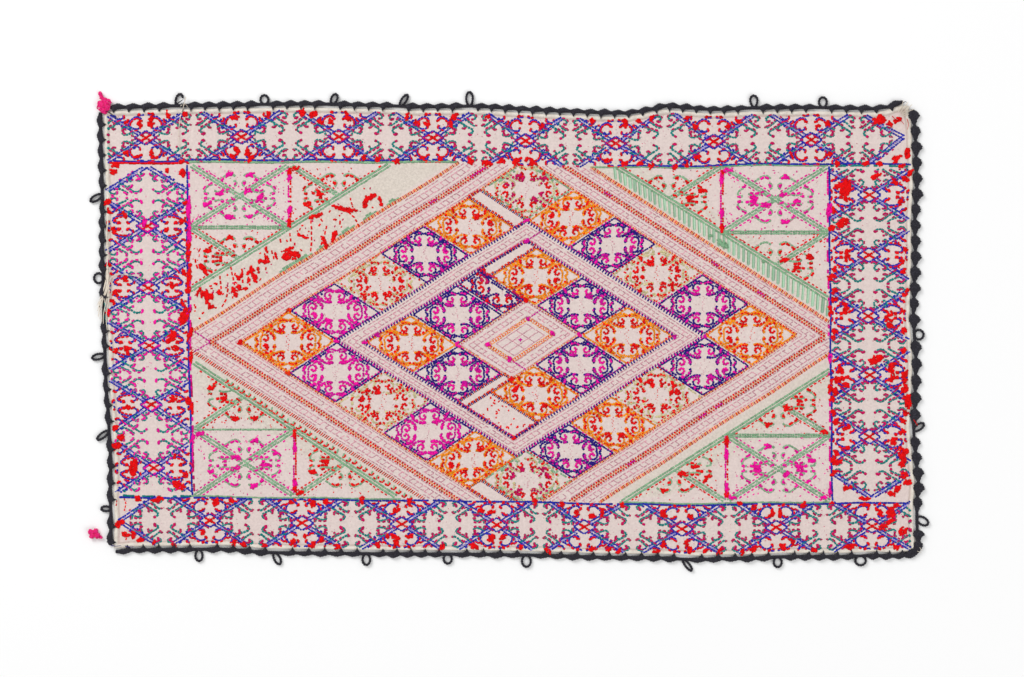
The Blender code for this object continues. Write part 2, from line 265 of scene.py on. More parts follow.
def plain_cotton():
    """Undyed cotton, plain-woven: matt, mottled cream, reddened by loose dye, in a fine woven relief."""
    finish = {"Roughness": 0.92, "Specular IOR Level": 0.25, "Sheen Weight": 0.08}
    material, tree, shader = new_material("cream_cotton_plain_woven", finish)
    place = node(tree, "ShaderNodeTexCoord").outputs["Object"]
    mottle, cloud = (node(tree, "ShaderNodeTexNoise", {"Vector": place, "Scale": scale, "Detail": 3.0})
                     .outputs["Fac"] for scale in (SLUBS, CLOUDS))
    warm = node(tree, "ShaderNodeMapRange", {"Value": cloud, "From Min": 0.35, "From Max": 0.7,
                                             "To Max": 0.22})
    # Painted highlight: the hem value lightens the cotton where the hem's puffs rise.
    dye, puff_highlight, crease_shade = (node(tree, "ShaderNodeAttribute", attribute_name=name).outputs["Fac"]
                           for name in ("blush", "hem", "painted_crease_shade"))
    # Painted shade: the last, brown-grey colour darkens the cotton at the foot of the hem's fold.
    colour = linear("#C0B4A6")
    for share, code in ((mottle, "#F7EEE2"), (warm.outputs["Result"], "#D9C3BA"), (dye, "#F2D6DC"),
                        (puff_highlight, "#F0E9DD"), (crease_shade, "#A8927F")):
        colour = node(tree, "ShaderNodeMix", {"Factor": share, "A": colour, "B": linear(code)},
                      data_type="RGBA").outputs["Result"]
    tree.links.new(colour, shader.inputs["Base Color"])
    turns = 2 * np.pi / (WEAVE * MM)
    part = node(tree, "ShaderNodeSeparateXYZ", {"Vector": place})
    threads = []
    for axis in ("X", "Y"):
        angle = node(tree, "ShaderNodeMath", {0: part.outputs[axis], 1: turns}, operation="MULTIPLY")
        threads.append(node(tree, "ShaderNodeMath", {0: angle.outputs[0]}, operation="SINE").outputs[0])
    weave = node(tree, "ShaderNodeMath", {0: threads[0], 1: threads[1]}, operation="MULTIPLY")
    relief = node(tree, "ShaderNodeMath", {0: weave.outputs[0], 1: mottle}, operation="ADD")
    bump = node(tree, "ShaderNodeBump", {"Height": relief.outputs[0], "Strength": 0.6,
                                         "Distance": 0.3 * MM})
    tree.links.new(bump.outputs["Normal"], shader.inputs["Normal"])
    return material


def paint_points(piece, name, values):
    """Give a piece a value at each of its points, for its material to read."""
    piece.data.attributes.new(name, "FLOAT", "POINT").data.foreach_set("value", values)


panel = mesh_piece("cotton_panel", *cloth_grid(), plain_cotton())
places = np.empty(len(panel.data.vertices) * 3)
panel.data.vertices.foreach_get("co", places)
places = places.reshape(-1, 3) / MM
depth, puff, wave = hem_parts(places)
# Painted highlight: the hem is painted lighter where its puffs rise between the edging's teeth.
paint_points(panel, "hem", puff)
# Painted shade: the cotton is darkened at the foot of the hem's fold, in a bell curve, where shade falls
# in the crease.
paint_points(panel, "painted_crease_shade", 0.55 * np.exp(-((depth - HEM_WIDTH - HEM_FOLD - 0.6 * wave) / 0.7) ** 2))
paint_points(panel, "blush", blush(places) * np.clip((depth - HEM_WIDTH) / HEM_FOLD, 0.0, 1.0))
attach(panel, ROOT)
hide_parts("panel_cloth")


# ---- Embroidery thread -------------------------------------------------------
# The whole design is worked in short straight stitches of loosely twisted silk
# and wool floss, counted over the ground's threads. Old dye has dulled unevenly.
COUNT = 1.1                # one count of the design along the panel
SLOPE = 0.634              # the same count across the panel, shorter because the weave is tighter
THREAD_COLOURS = {"royal_blue": "#232CA8", "lavender": "#8C88DE", "teal": "#068480", "crimson": "#C8085C",
    "red": "#E60206", "hot_pink": "#EE089C", "navy": "#26147C", "magenta": "#D00A9C", "orange": "#EE9014",
    "vermilion": "#EA3606", "brick": "#B4200C", "apricot": "#F2B07C", "sage": "#84AF89",
    "pale_sage": "#A9C9AE", "rose": "#D498A6", "olive": "#CDC291", "slate": "#5B86AE"}
STITCH = 3.1
STITCH_GAP = -0.3          # each stitch starts a little behind the end of the last
STITCH_WIDTH = 1.9
STITCH_HEIGHT = 0.55
DYE_SPECKS = 700.0         # in a metre, each about 1.4 mm
FLOSS_TWIST = 0.55         # sets strands 1.1 mm apart on a stitch's map, coarse so that they show
seed = np.random.default_rng(7)
work = {}                  # the stitches noted so far, by their thread


def floss(name, code):
    """Stranded floss, dyed and hand-sewn: soft sheen along fine twisted strands.

    Each stitch is a little lighter or darker than the next, by its own tone."""
    finish = {"Roughness": 0.66, "Specular IOR Level": 0.14}
    material, tree, shader = new_material(name + "_floss_dyed", finish)
    tone = node(tree, "ShaderNodeAttribute", attribute_name="tone").outputs["Fac"]
    strand = node(tree, "ShaderNodeUVMap", uv_map="strand").outputs["UV"]
    twist = node(tree, "ShaderNodeTexWave", {"Vector": strand, "Scale": FLOSS_TWIST, "Distortion": 0.6},
                 bands_direction="DIAGONAL").outputs["Fac"]
    place = node(tree, "ShaderNodeTexCoord").outputs["Object"]
    dust = node(tree, "ShaderNodeTexNoise",
                {"Vector": place, "Scale": DYE_SPECKS, "Detail": 2.0}).outputs["Fac"]
    shade = node(tree, "ShaderNodeMath", {0: tone, 1: dust}, operation="ADD").outputs[0]
    level = node(tree, "ShaderNodeMapRange", {"Value": shade, "From Min": 0.4, "From Max": 1.6,
                                              "To Min": 0.72, "To Max": 1.22}).outputs["Result"]
    colour = node(tree, "ShaderNodeHueSaturation", {"Value": level, "Color": linear(code)})
    tree.links.new(colour.outputs["Color"], shader.inputs["Base Color"])
    bump = node(tree, "ShaderNodeBump", {"Height": twist, "Strength": 0.5, "Distance": 0.15 * MM})
    tree.links.new(bump.outputs["Normal"], shader.inputs["Normal"])
    return material


FLOSS = {name: floss(name, code) for name, code in THREAD_COLOURS.items()}


def bend(points, steps=5):
    """A smooth line through points: the Catmull-Rom cubic between each two, from the four round them."""
    points = np.asarray(points, dtype=float)
    if len(points) < 3:
        return points
    ends = np.vstack([2 * points[0] - points[1], points, 2 * points[-1] - points[-2]])
    t = (np.arange(steps) / steps)[None, :, None]
    a, b, c, d = (ends[start:len(ends) - 3 + start, None, :] for start in range(4))
    cubic = 0.5 * (2 * b + (c - a) * t + (2 * a - 5 * b + 4 * c - d) * t ** 2
                   + (3 * b - a - 3 * c + d) * t ** 3)
    return np.vstack([cubic.reshape(-1, points.shape[1]), points[-1:]])


def distance(line):
    """The distance run along a line, from its first point to each of its points."""
    return np.concatenate([[0.0], np.cumsum(np.linalg.norm(np.diff(line, axis=0), axis=1))])


def walk(line, marks, places):
    """Points of a line at some places: straight between its own points, which stand at its marks."""
    return np.column_stack([np.interp(places, marks, line[:, axis]) for axis in (0, 1)])


def unit(ways):
    """Directions brought to a length of one."""
    return ways / np.maximum(np.linalg.norm(ways, axis=-1, keepdims=True), 1e-9)


def left_of(runs):
    """Level directions square to runs, on their left."""
    return unit(np.stack([-runs[..., 1], runs[..., 0]], axis=-1))


def cut(line, length, gap):
    """Cut a line into even stitches: both ends of each, found by the distance run along the line."""
    far = distance(line)
    count = max(1, round(far[-1] / (length + gap)))
    first = np.arange(count) * far[-1] / count
    last = first + far[-1] / count * length / (length + gap)
    return walk(line, far, first), walk(line, far, last)


def sew(thread, starts, ends, wide, high=STITCH_HEIGHT, lift=0.0, keep=None):
    """Note stitches between two rows of places, each strayed a little, for the pieces made later.

    Where keep is given, only stitches whose middles it answers True for are sewn."""
    starts, ends = np.atleast_2d(starts), np.atleast_2d(ends)
    if keep is not None:
        kept = keep((starts + ends) / 2)
        starts, ends = starts[kept], ends[kept]
    count = len(starts)
    if count == 0:
        return
    loose = seed.normal(0.0, 0.16, (2, count, 2))
    size = np.tile([[wide, high, lift]], (count, 1)) * seed.uniform(0.85, 1.15, (count, 3))
    work.setdefault(thread, []).append(np.hstack([starts + loose[0], ends + loose[1], size]))


def sew_line(thread, line, wide=STITCH_WIDTH, length=STITCH, gap=STITCH_GAP, lift=0.0, keep=None,
             share=1.0, aside=0.0):
    """Stitches end to end along a line: only a share of them, moved aside off it to the left."""
    starts, ends = cut(np.asarray(line, dtype=float), length, gap)
    picked = seed.random(len(starts)) < share
    starts, ends = starts[picked], ends[picked]
    normal = left_of(ends - starts)
    sew(thread, starts + normal * aside, ends + normal * aside, wide, lift=lift, keep=keep)


def patch(thread, x, y, long, deep, turn):
    """A heap of loose stitches: they cross an oval of that size at random, most of them lengthwise."""
    count = max(5, round(long * deep / 2.6))
    radius = np.sqrt(seed.random(count)) * 0.5
    angle = seed.uniform(0, 2 * np.pi, count)
    middle = np.column_stack([radius * np.cos(angle) * long, radius * np.sin(angle) * deep])
    way = seed.normal(0.0, 0.55, count)
    reach = np.minimum(seed.uniform(1.4, 2.6, count), 0.45 * long)[:, None]
    step = np.column_stack([np.cos(way), np.sin(way)]) * reach
    spin = np.array([[np.cos(turn), np.sin(turn)], [-np.sin(turn), np.cos(turn)]])
    place = np.array([x, y])
    sew(thread, (middle - step) @ spin + place, (middle + step) @ spin + place, 2.4, high=0.8, lift=0.35)


def specks(thread, spots, size, keep=None):
    """Single short crossings of the thread, each turned its own way."""
    angle = seed.uniform(0, np.pi, len(spots))
    way = np.column_stack([np.cos(angle), np.sin(angle)])
    step = way * size * seed.uniform(0.35, 0.75, (len(spots), 1))
    sew(thread, spots - step, spots + step, wide=size * 0.9, high=0.4, keep=keep)


def strand_mesh(rows):
    """Every stitch as a low rounded strand of eight points, with its strand map and its faces.

    Two three-pointed sections stand at a seventh of its length from its ends, and its ends dip
    into the cloth."""
    start, end = rows[:, None, 0:2], rows[:, None, 2:4]
    wide, high, lift = rows[:, 4:5], rows[:, 5:6], rows[:, 6:7]
    run = end - start
    length = np.linalg.norm(run, axis=2)
    normal = left_of(run)
    share = np.array([0.0, 0.14, 0.14, 0.14, 0.86, 0.86, 0.86, 1.0])[None, :, None]
    side = np.array([0.0, 0.5, 0.0, -0.5, 0.5, 0.0, -0.5, 0.0])[None, :, None]
    crest = np.array([-0.25, 0.0, 1.0, 0.0, 0.0, 1.0, 0.0, -0.25])[None, :]
    flat = start + run * share + normal * side * wide[:, None, :]
    height = rise(flat) - 0.1 + crest * high + lift
    points = np.concatenate([flat, height[..., None]], axis=2).reshape(-1, 3)
    shape = np.array([(0, 2, 1), (0, 3, 2), (0, 1, 3), (1, 2, 5), (1, 5, 4), (2, 3, 6), (2, 6, 5),
                      (3, 1, 4), (3, 4, 6), (7, 4, 5), (7, 5, 6), (7, 6, 4)])
    faces = (np.arange(len(rows))[:, None, None] * 8 + shape[None]).reshape(-1, 3)
    along = (share[..., 0] * length + seed.uniform(0, 9, (len(rows), 1))).ravel()
    across = np.tile(side[0, :, 0] + 0.5, len(rows))
    return points, faces, np.column_stack([across, along])


def paint_strand(piece, strand):
    """Give a piece its strand map: across and along the thread or yarn, in millimetres, at each point."""
    corners = np.empty(len(piece.data.loops), dtype=np.int32)
    piece.data.loops.foreach_get("vertex_index", corners)
    piece.data.uv_layers.new(name="strand").data.foreach_set("uv", strand[corners].ravel())


def lay_in(prefix):
    """Turn the noted stitches into pieces, one for each thread, and clear the notes."""
    for thread, notes in work.items():
        rows = np.vstack(notes)
        points, faces, strand = strand_mesh(rows)
        piece = mesh_piece(prefix + "_" + thread, points, faces, FLOSS[thread])
        paint_strand(piece, strand)
        paint_points(piece, "tone", np.repeat(seed.uniform(0.0, 1.0, len(rows)), 8))
        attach(piece, ROOT)
    work.clear()


# ---- Wide border bands -------------------------------------------------------
# Four bands of one repeat: a blue cross with a star of four small lozenges, red
# horns towards the band's edges, and teal curls and hooks along it.
Spot = namedtuple("Spot", "x y")
LENGTHWISE = ("top", "bottom")         # the sides that run along the panel
# The sign of outwards on each side, and how far the side is from the panel's middle.
SIDE_LINE = {"top": (1.0, PANEL_WIDTH / 2), "right": (1.0, PANEL_LENGTH / 2),
             "bottom": (-1.0, PANEL_WIDTH / 2), "left": (-1.0, PANEL_LENGTH / 2)}
# The lines of the field's frame, which the bands stand on: the place along a side, then the level.
FIELD = {"top": [(-446, 184), (-352, 184.5), (-60, 184.4), (15, 180.4), (187, 178.2), (275, 181),
                 (446, 181)],
         "bottom": [(-446, -182.5), (-348, -183.2), (-187, -185.6), (-20, -187), (77, -189.2),
                    (187, -191.4), (275, -190.3), (446, -188.6)],
         "left": [(-182, -348.2), (-66, -351.2), (88, -353.6), (183, -354.2)],
         "right": [(-189, 353.4), (-16, 351.6), (181, 349.8)]}
BAND_EDGE = {"top": 7.6, "right": 7.0, "bottom": 5.8, "left": 4.8}    # from the edging's middle line
HALF_BAND = 40.0           # counts from a band's middle to its edge
HALF_REPEAT = 47.75        # counts from the middle of a repeat to its end
QUARTERS = [(-1.0, -1.0), (-1.0, 1.0), (1.0, -1.0), (1.0, 1.0)]       # signs that mirror a motif

# Reds: the share of a band's likely places that have a loose red patch.
Band = namedtuple("Band", "side middles low high accent reds")
BANDS = [Band("top", [-400.4, -295.2, -188.1, -84.7, 17.0, 116.1, 224.0, 331.1, 432.5], -442.0, 434.0,
              "crimson", 0.36),
         Band("bottom", [-429.5, -330.0, -228.8, -118.8, -14.3, 81.4, 189.2, 292.6, 398.2], -430.5, 440.0,
              "crimson", 0.36),
         Band("left", [-151.8, -82.0, -17.0, 46.2, 114.4, 180.0], -178.0, 179.0, "hot_pink", 0.24),
         Band("right", [-184.5, -117.3, -49.5, 15.4, 82.5, 148.5], -184.0, 177.0, "crimson", 0.5)]

# The repeat's strokes in one quarter, in counts from its middle: along the band, then across it.
# Each is edged in a second colour over a share of its length.
Stroke = namedtuple("Stroke", "share wide points")
HORNS = [Stroke(0.85, 3.3, [(17, 20), (16.5, 26), (13, 32), (8.5, 34.5), (4.5, 31), (4.5, 25.5)]),
         Stroke(0.8, 3.2, [(12, 14), (8, 14.5), (5.2, 17.5), (6.5, 21)]),
         Stroke(0.7, 3.1, [(29, 30), (24.5, 31.5), (21.5, 34.5), (22.5, 38)]),
         Stroke(0.6, 2.8, [(21.5, 25), (19.5, 29.5), (16.5, 29)]),
         Stroke(0.6, 2.8, [(1.5, 38), (4.5, 36.6), (9, 38.4)])]
CURLS = [Stroke(0.62, 3.0, [(13.8, 7), (11.8, 4.5), (12.6, 1.8)]),
         Stroke(0.62, 3.2, [(12, 10), (15.5, 7.5), (19.5, 5), (23, 6), (24, 9.2), (21, 10.4)]),
         Stroke(0.62, 3.2, [(14, 15), (17.5, 18.2), (21.5, 19), (24.5, 17), (23.8, 14), (20.8, 14.3)]),
         Stroke(0.57, 3.3, [(25.5, 28), (29.5, 24), (33.5, 19.4), (37.4, 16.2), (42, 11.6), (39.6, 7.6),
                            (35.8, 4.8)]),
         Stroke(0.72, 3.2, [(33.5, 19.4), (31.6, 17), (30.2, 13.6)]),
         Stroke(0.62, 3.2, [(33.5, 31), (37, 26), (40.5, 21), (44.2, 18.5), (45, 21.5)]),
         Stroke(0.72, 3.2, [(38, 37.5), (42.5, 36.2), (45, 33.5), (43, 29.8), (39.5, 29.6)])]
# The cross's lines in each quarter: how far aside of its arm, thread, width, and the share that is left.
CROSS_LINES = [(1.45, "royal_blue", 2.4, 0.97), (-1.45, "royal_blue", 2.4, 0.97),
               (0.0, "lavender", 1.3, 0.65)]
# Where a repeat may have loose red patches: four places in a quarter, mirrored, then one at each corner.
LOOSE = [(sign_a * a, sign_c * c) for sign_c in (1, -1) for sign_a in (1, -1)
         for a, c in ((9, 33), (17, 24), (6, 22), (24, 35))]
LOOSE += [(sign_a * 38, sign_c * 38) for sign_c in (1, -1) for sign_a in (1, -1)]


def field_edge(side, place):
    """Where a line of the field's frame lies at each place along it: straight between its rows."""
    return np.interp(place, *np.transpose(FIELD[side]))


def beside(side, along, level):
    """Places at some distances along a side and some levels across it."""
    return np.column_stack([along, level] if side in LENGTHWISE else [level, along])


def on_band(side, along, share):
    """A place on a band: along it, and at a share of its depth from -1 at the field to 1 at the hem."""
    sign, half = SIDE_LINE[side]
    inner = field_edge(side, along)
    outer = sign * (half + stray(side, along) - BAND_EDGE[side])
    return beside(side, along, (inner + outer) / 2 + (outer - inner) / 2 * share)


def sew_repeat(band, middle, reach):
    """One repeat of a band at its middle, stretched to its reach and mirrored into four quarters."""
    def spots(line, quarter):
        line = np.asarray(line, dtype=float)
        along = middle + quarter[0] * line[:, 0] * reach[int(quarter[0] > 0)] / HALF_REPEAT
        return on_band(band.side, along, quarter[1] * line[:, 1] / HALF_BAND)

    def inside(places):
        along = places[:, 0] if band.side in LENGTHWISE else places[:, 1]
        return (along > band.low) & (along < band.high)

    at_end = middle < band.low + 8 or middle > band.high - 8
    first = 0 if at_end else 6
    for quarter in QUARTERS:
        hand = quarter[0] * quarter[1]
        for aside, thread, wide, share in CROSS_LINES:
            arm = spots([(far + aside, far - aside) for far in (first, 20, 39.5)], quarter)
            sew_line(thread, arm, wide, keep=inside, share=share)
        dashes = spots([(11.5, 11.5), (36, 36)], quarter)
        for away in (-3.2, 3.2):
            sew_line("royal_blue", dashes, 2.3, 3.4, 2.4, share=0.5, aside=away, keep=inside)
            sew_line(band.accent, dashes, 2.3, 3.2, 4.2, share=0.42, aside=away * 1.1, keep=inside)
        if not at_end:
            rim = spots([(11.5, 0), (5.8, 5.8), (0, 11.5)], quarter)
            sew_line("royal_blue", rim, 2.7, keep=inside)
            sew_line(band.accent, rim, 2.2, 4.2, share=0.6, aside=1.3 * hand, lift=0.2, keep=inside)
            sew_line("red", spots([(0, 0), (5.5, 5.5)], quarter), 2.7, keep=inside, lift=0.2)
        horns = [] if at_end else HORNS
        for thread, accent, strokes in (("royal_blue", "red", horns), ("teal", band.accent, CURLS)):
            for share, wide, points in strokes:
                line = spots(bend(points), quarter)
                sew_line(thread, line, 0.92 * wide, length=3.7, keep=inside)
                sew_line(accent, line, 0.75 * wide, length=4.2, gap=0.8, share=share + 0.15,
                         aside=1.35 * hand, lift=0.2, keep=inside)
                sew_line(accent, line[-5:], 0.85 * wide, length=3.6, lift=0.3, keep=inside)


def sew_band(band):
    """All a band's repeats, each reaching halfway to the next, with loose red patches and specks."""
    gaps = np.diff(band.middles) / 2
    reach = np.column_stack([np.append(gaps[:1], gaps), np.append(gaps, gaps[-1:])])
    for middle, pair in zip(band.middles, reach):
        sew_repeat(band, middle, pair)
        places = LOOSE + seed.normal(0, 1.5, (len(LOOSE), 2))
        for a, c in places[seed.random(len(places)) < band.reds]:
            along = middle + a * pair.mean() / HALF_REPEAT
            if band.low + 3 < along < band.high - 3:
                x, y = on_band(band.side, np.array([along]), np.array([c / HALF_BAND]))[0]
                patch("red", x, y, seed.uniform(4.5, 9.5), seed.uniform(3, 6), seed.uniform(0, np.pi))
    count = round((band.high - band.low) * 0.42)
    along, share = seed.uniform(band.low, band.high, count), seed.uniform(-0.97, 0.97, count)
    specks("rose" if band.accent == "crimson" else "hot_pink", on_band(band.side, along, share), 1.0)
    specks(band.accent, on_band(band.side, along[::3] + 2.0, share[::-3]), 1.1)


for band in BANDS:
    sew_band(band)
lay_in("border")


# ---- Lines round the field ---------------------------------------------------
# Double lines of blue over green and of pink beside blue frame the field, worked
# in longer stitches after the bands.
# Each line's thread, side, start and end along it, distance out, width, and the share of it that is left.
FRAME_LINES = [("red", "top", -441, -352, -0.6, 3.0, 0.8),
               ("royal_blue", "top", -436, -352, 1.2, 2.3, 1.0),
               ("royal_blue", "top", -352, -60, 2.6, 2.3, 0.9),
               ("sage", "top", -354, -58, 0.2, 2.9, 1.0),
               ("sage", "top", 88, 350, 0.0, 1.9, 1.0),
               ("royal_blue", "top", 120, 441, 1.6, 2.3, 1.0),
               ("teal", "top", 230, 300, 0.6, 2.3, 0.6),
               ("teal", "top", 352, 438, -0.8, 2.3, 0.7),
               ("royal_blue", "bottom", -430, 436, -1.4, 2.3, 0.92),
               ("sage", "bottom", -350, -120, 0.4, 1.9, 1.0),
               ("sage", "bottom", 120, 352, 0.4, 1.9, 1.0),
               ("teal", "bottom", -430, -350, 0.5, 2.3, 0.6),
               ("royal_blue", "left", -182, 182, -1.0, 2.3, 1.0),
               ("hot_pink", "left", -182, 178, 0.9, 2.4, 0.6),
               ("crimson", "left", -182, 60, 1.2, 2.4, 0.35),
               ("royal_blue", "right", -188, 180, 1.0, 2.3, 1.0),
               ("hot_pink", "right", -188, 178, -1.0, 2.4, 0.45)]
# Loose patches over the bands and the frame: each one's middle, length, depth, and turn in radians.
PATCHES = [("hot_pink", -353, 136, 10, 3.2, 1.57), ("red", -352.5, 62, 26, 3.6, 1.5),
           ("hot_pink", -353, 102, 16, 3.6, 1.57), ("red", -352, -4, 14, 4.0, 1.3),
           ("hot_pink", -352.5, 116, 12, 3.0, 1.57), ("red", -351, -30, 12, 3.4, 1.5),
           ("hot_pink", -349, -120, 9, 4.4, 1.2), ("red", -350, -86, 12, 3.2, 1.6),
           ("hot_pink", 351, 132, 14, 5.0, 1.4), ("red", 353, 112, 8, 5, 0.4),
           ("hot_pink", 352, -178, 9, 3.4, 1.5), ("red", 352, 20, 12, 3.2, 1.6),
           ("red", 352, -62, 14, 3.4, 1.5), ("hot_pink", 352, -30, 10, 3, 1.57),
           ("red", -434, 181, 7, 6, 0.2), ("red", -27, 184, 7, 5, 0.3), ("red", -358, 15, 20, 9, 1.2),
           ("red", -353.5, 88, 24, 4.6, 1.57), ("red", -354, 44, 9, 5, 1.57),
           ("hot_pink", -353.5, 132, 22, 4, 1.57), ("red", 406, 231, 15, 8, 0.2),
           ("red", 426, 231, 9, 5, 0.8), ("red", 437.5, 194, 11, 6, 1.5), ("red", 428, 190, 9, 2.4, 0.3),
           ("red", 402, 169, 12, 4, 0.4), ("red", 432, 180, 8, 3, 0), ("red", 369, 156, 20, 11, 1.4),
           ("red", 366, 118, 14, 8, 0.6), ("red", 438, -78, 16, 7, 1.5), ("red", 434, -64, 9, 6, 1.4),
           ("red", 402, -32, 16, 8, 0.4), ("red", 434, -50, 8, 5, 1.2), ("red", -372, -8, 14, 8, 0.8),
           ("red", -433, -128, 12, 7, 0.4), ("red", -427, -118, 9, 6, 0.2),
           ("hot_pink", -402, 118, 8, 4, 1.4), ("red", -414, -151, 19, 8, 1.5),
           ("red", -364, -171, 15, 7, -0.5), ("red", -429, -213, 11, 6, 0.5),
           ("red", -388, -186, 13, 5, 0.2), ("red", 431, -140, 21, 8, 1.6), ("red", 433, -160, 8, 6, 0.3),
           ("red", 419, -201, 11, 9, 0.7), ("red", 418, -211, 8, 4, 0.4), ("red", 432, -221, 10, 7, 0.9),
           ("red", 410, -217, 8, 6, 0.3), ("red", 374, -238, 13, 4, 0.1), ("red", 360, -146, 10, 5, 0.5),
           ("red", 391, -185, 15, 3, 0.0)]
TAILS = [[(-424.5, -185.0), (-422.5, -191.0), (-424.5, -200.0)], [(-432.0, -187.0), (-433.0, -194.0)],
         [(-424.0, -221.0), (-421.5, -226.0), (-422.5, -232.0)]]


def in_field(places):
    """True where places lie inside the four lines of the field's frame."""
    x, y = places[:, 0], places[:, 1]
    return ((y < field_edge("top", x)) & (y > field_edge("bottom", x))
            & (x > field_edge("left", y)) & (x < field_edge("right", y)))


for thread, side, low, high, out, wide, share in FRAME_LINES:
    along = np.linspace(low, high, 60)
    line = beside(side, along, field_edge(side, along) + out + 0.5 * np.sin(along / 19.0))
    sew_line(thread, line, wide, length=5.0, gap=-0.7, share=share, lift=0.15)
for row in PATCHES:
    patch(*row)
for tail in TAILS:
    sew_line("red", bend(tail), 1.8, length=3.2, gap=0.6)
lay_in("frame_lines")


# ---- Great lozenge -----------------------------------------------------------
# Pale brick-stitched strips between rows of upright teeth make three nested
# lozenges. They run on under the bands' frame at the field's four sides.
Box = namedtuple("Box", "p_low p_high q_low q_high")
LOZENGE_START = Spot(-297.0, -13.2)    # its left corner
LOZENGE_SIDE = (286.0, 274.0)          # counts along its two slants
LOZENGE_PULL = [Spot(1.1, 0.8), Spot(-2.75, -1.4), Spot(1.1, -2.5)]      # at its top, right and foot
OUTER = Box(-31.0, 313.0, -32.0, 304.5)
MIDDLE = Box(-14.5, 300.0, -14.5, 289.0)
INNER = Box(0.0, 286.0, 0.0, 274.0)
RING = Box(49.0, 238.5, 47.5, 227.0)
CORE = Box(61.5, 223.5, 63.0, 212.0)
HEART = Box(107.5, 176.0, 110.5, 164.0)
HEART_INNER = Box(122.5, 162.8, 125.5, 150.0)
HEART_MIDDLE = (142.6, 137.8)
# Short bars that close a corner of a strip, from one pair of counts to another.
CORNER_BARS = [((162.8, 125.5), (176, 125.5)), ((122.5, 150), (122.5, 164)), ((223.5, 63), (238.5, 63)),
               ((-14.5, -31), (-14.5, -14.5)), ((-31, -14.5), (-14.5, -14.5))]
# Loose patches over the lozenges' corners: their counts p and q, by their thread.
CORNER_PATCHES = [(122.5, 125.5, "hot_pink"), (162.8, 150, "hot_pink"), (122.5, 147, "hot_pink"),
                  (162.8, 126, "magenta"), (61.5, 63, "hot_pink"), (49, 47.5, "hot_pink"),
                  (107.5, 110.5, "hot_pink"), (176, 164, "hot_pink"), (238.5, 47.5, "hot_pink"),
                  (223.5, 212, "magenta"), (238.5, 227, "magenta"), (286, 0, "red"), (0, 0, "red"),
                  (49, 0, "vermilion"), (0, 48, "vermilion"), (61.5, 212, "red"), (176, 110.5, "red"),
                  (74, 63, "magenta"), (223.5, 63, "magenta"), (107.5, 164, "red")]


def on_field(p, q):
    """Place of counts along the two slants: p climbs to the right and q falls to the right.

    x grows with p + q and y with (p - q) x SLOPE, each corner of the lozenge is pulled a little, and
    the lines wander by less than a millimetre."""
    p, q = np.asarray(p, dtype=float), np.asarray(q, dtype=float)
    u, v = p / LOZENGE_SIDE[0], q / LOZENGE_SIDE[1]
    pulls = list(zip((u * (1 - v), u * v, v * (1 - u)), LOZENGE_PULL))
    x = LOZENGE_START.x + (p + q) * COUNT + sum(share * pull.x for share, pull in pulls)
    y = LOZENGE_START.y + (p - q) * COUNT * SLOPE + sum(share * pull.y for share, pull in pulls)
    return np.stack([x, y + 0.7 * np.sin(x / 37.0 + y / 23.0)], axis=-1)


def off_field(places):
    """Counts p and q of a place: on_field turned round, without its small pulls."""
    x = (places[:, 0] - LOZENGE_START.x) / COUNT
    y = (places[:, 1] - LOZENGE_START.y) / (COUNT * SLOPE)
    return (x + y) / 2, (x - y) / 2


def between(first, second, share):
    """A box a share of the way from one box to another."""
    return Box(*(a + (b - a) * share for a, b in zip(first, second)))


def sides(box):
    """The four sides of a box, each from its left end to its right one, as pairs of counts."""
    left, top = (box.p_low, box.q_low), (box.p_high, box.q_low)
    foot, right = (box.p_low, box.q_high), (box.p_high, box.q_high)
    return [(left, top), (top, right), (foot, right), (left, foot)]


def slant(start, end, steps=40):
    """A line on the field between two pairs of counts."""
    return on_field(np.linspace(start[0], end[0], steps), np.linspace(start[1], end[1], steps))


def teeth(threads, start, end, tall, pitch, wide, drop=0.0, lean=None):
    """A row of short stitches along a slant, the threads taking turns, dropped or raised from it.

    They stand square to the slant, or lean as told: so far across and up for each one of their length."""
    line = slant(start, end)
    middles = cut(line, pitch, 0.0)[0] + [0.0, drop]
    run = line[-1] - line[0]
    half_tooth = np.array(lean or [-run[1], run[0]] / np.hypot(*run)) * tall / 2
    for turn, thread in enumerate(threads):
        mine = middles[turn::len(threads)]
        sew(thread, mine - half_tooth, mine + half_tooth, wide, lift=0.15 * (drop != 0), keep=in_field)


def ladder(outside, inside, lines, rungs, pitch=5.2):
    """Rose lines at shares of the way from one box to another, and rungs between two of the shares."""
    for share in lines:
        for start, end in sides(between(outside, inside, share)):
            sew_line("rose", slant(start, end), 1.5, length=4.6, gap=0.2, keep=in_field, share=0.93)
    near, far = (sides(between(outside, inside, share)) for share in rungs)
    for (start, end), (inner_start, _) in zip(near, far):
        moving = 0 if start[0] != end[0] else 1
        places = np.arange(start[moving], end[moving], pitch)
        first, last = (np.tile(corner, (len(places), 1)) for corner in (start, inner_start))
        first[:, moving] = last[:, moving] = places
        sew("rose", on_field(*first.T), on_field(*last.T), 1.4, high=0.4, keep=in_field)


ladder(OUTER, MIDDLE, (0.19, 0.36, 0.64, 0.82), (0.36, 0.64))
ladder(MIDDLE, INNER, (0.17, 0.36, 0.66, 0.84), (0.36, 0.66))
ladder(RING, CORE, (0.22, 0.40, 0.66, 0.84), (0.40, 0.66), 5.0)
ladder(HEART, HEART_INNER, (0.10, 0.34, 0.62, 0.86), (0.34, 0.62), 4.6)
for start, end in sides(OUTER)[:3]:
    teeth(("brick", "apricot", "vermilion", "orange"), start, end, tall=4.6, pitch=1.7, wide=1.6)
for start, end in sides(MIDDLE):
    teeth(("apricot", "orange"), start, end, tall=2.6, pitch=1.8, wide=1.3)
    for drop in (-1.8, 1.8):
        teeth(("brick", "red"), start, end, tall=2.3, pitch=3.2, wide=2.2, drop=drop)
for start, end in sides(INNER):
    teeth(("brick", "apricot", "red", "orange"), start, end, tall=3.4, pitch=1.7, wide=1.6)
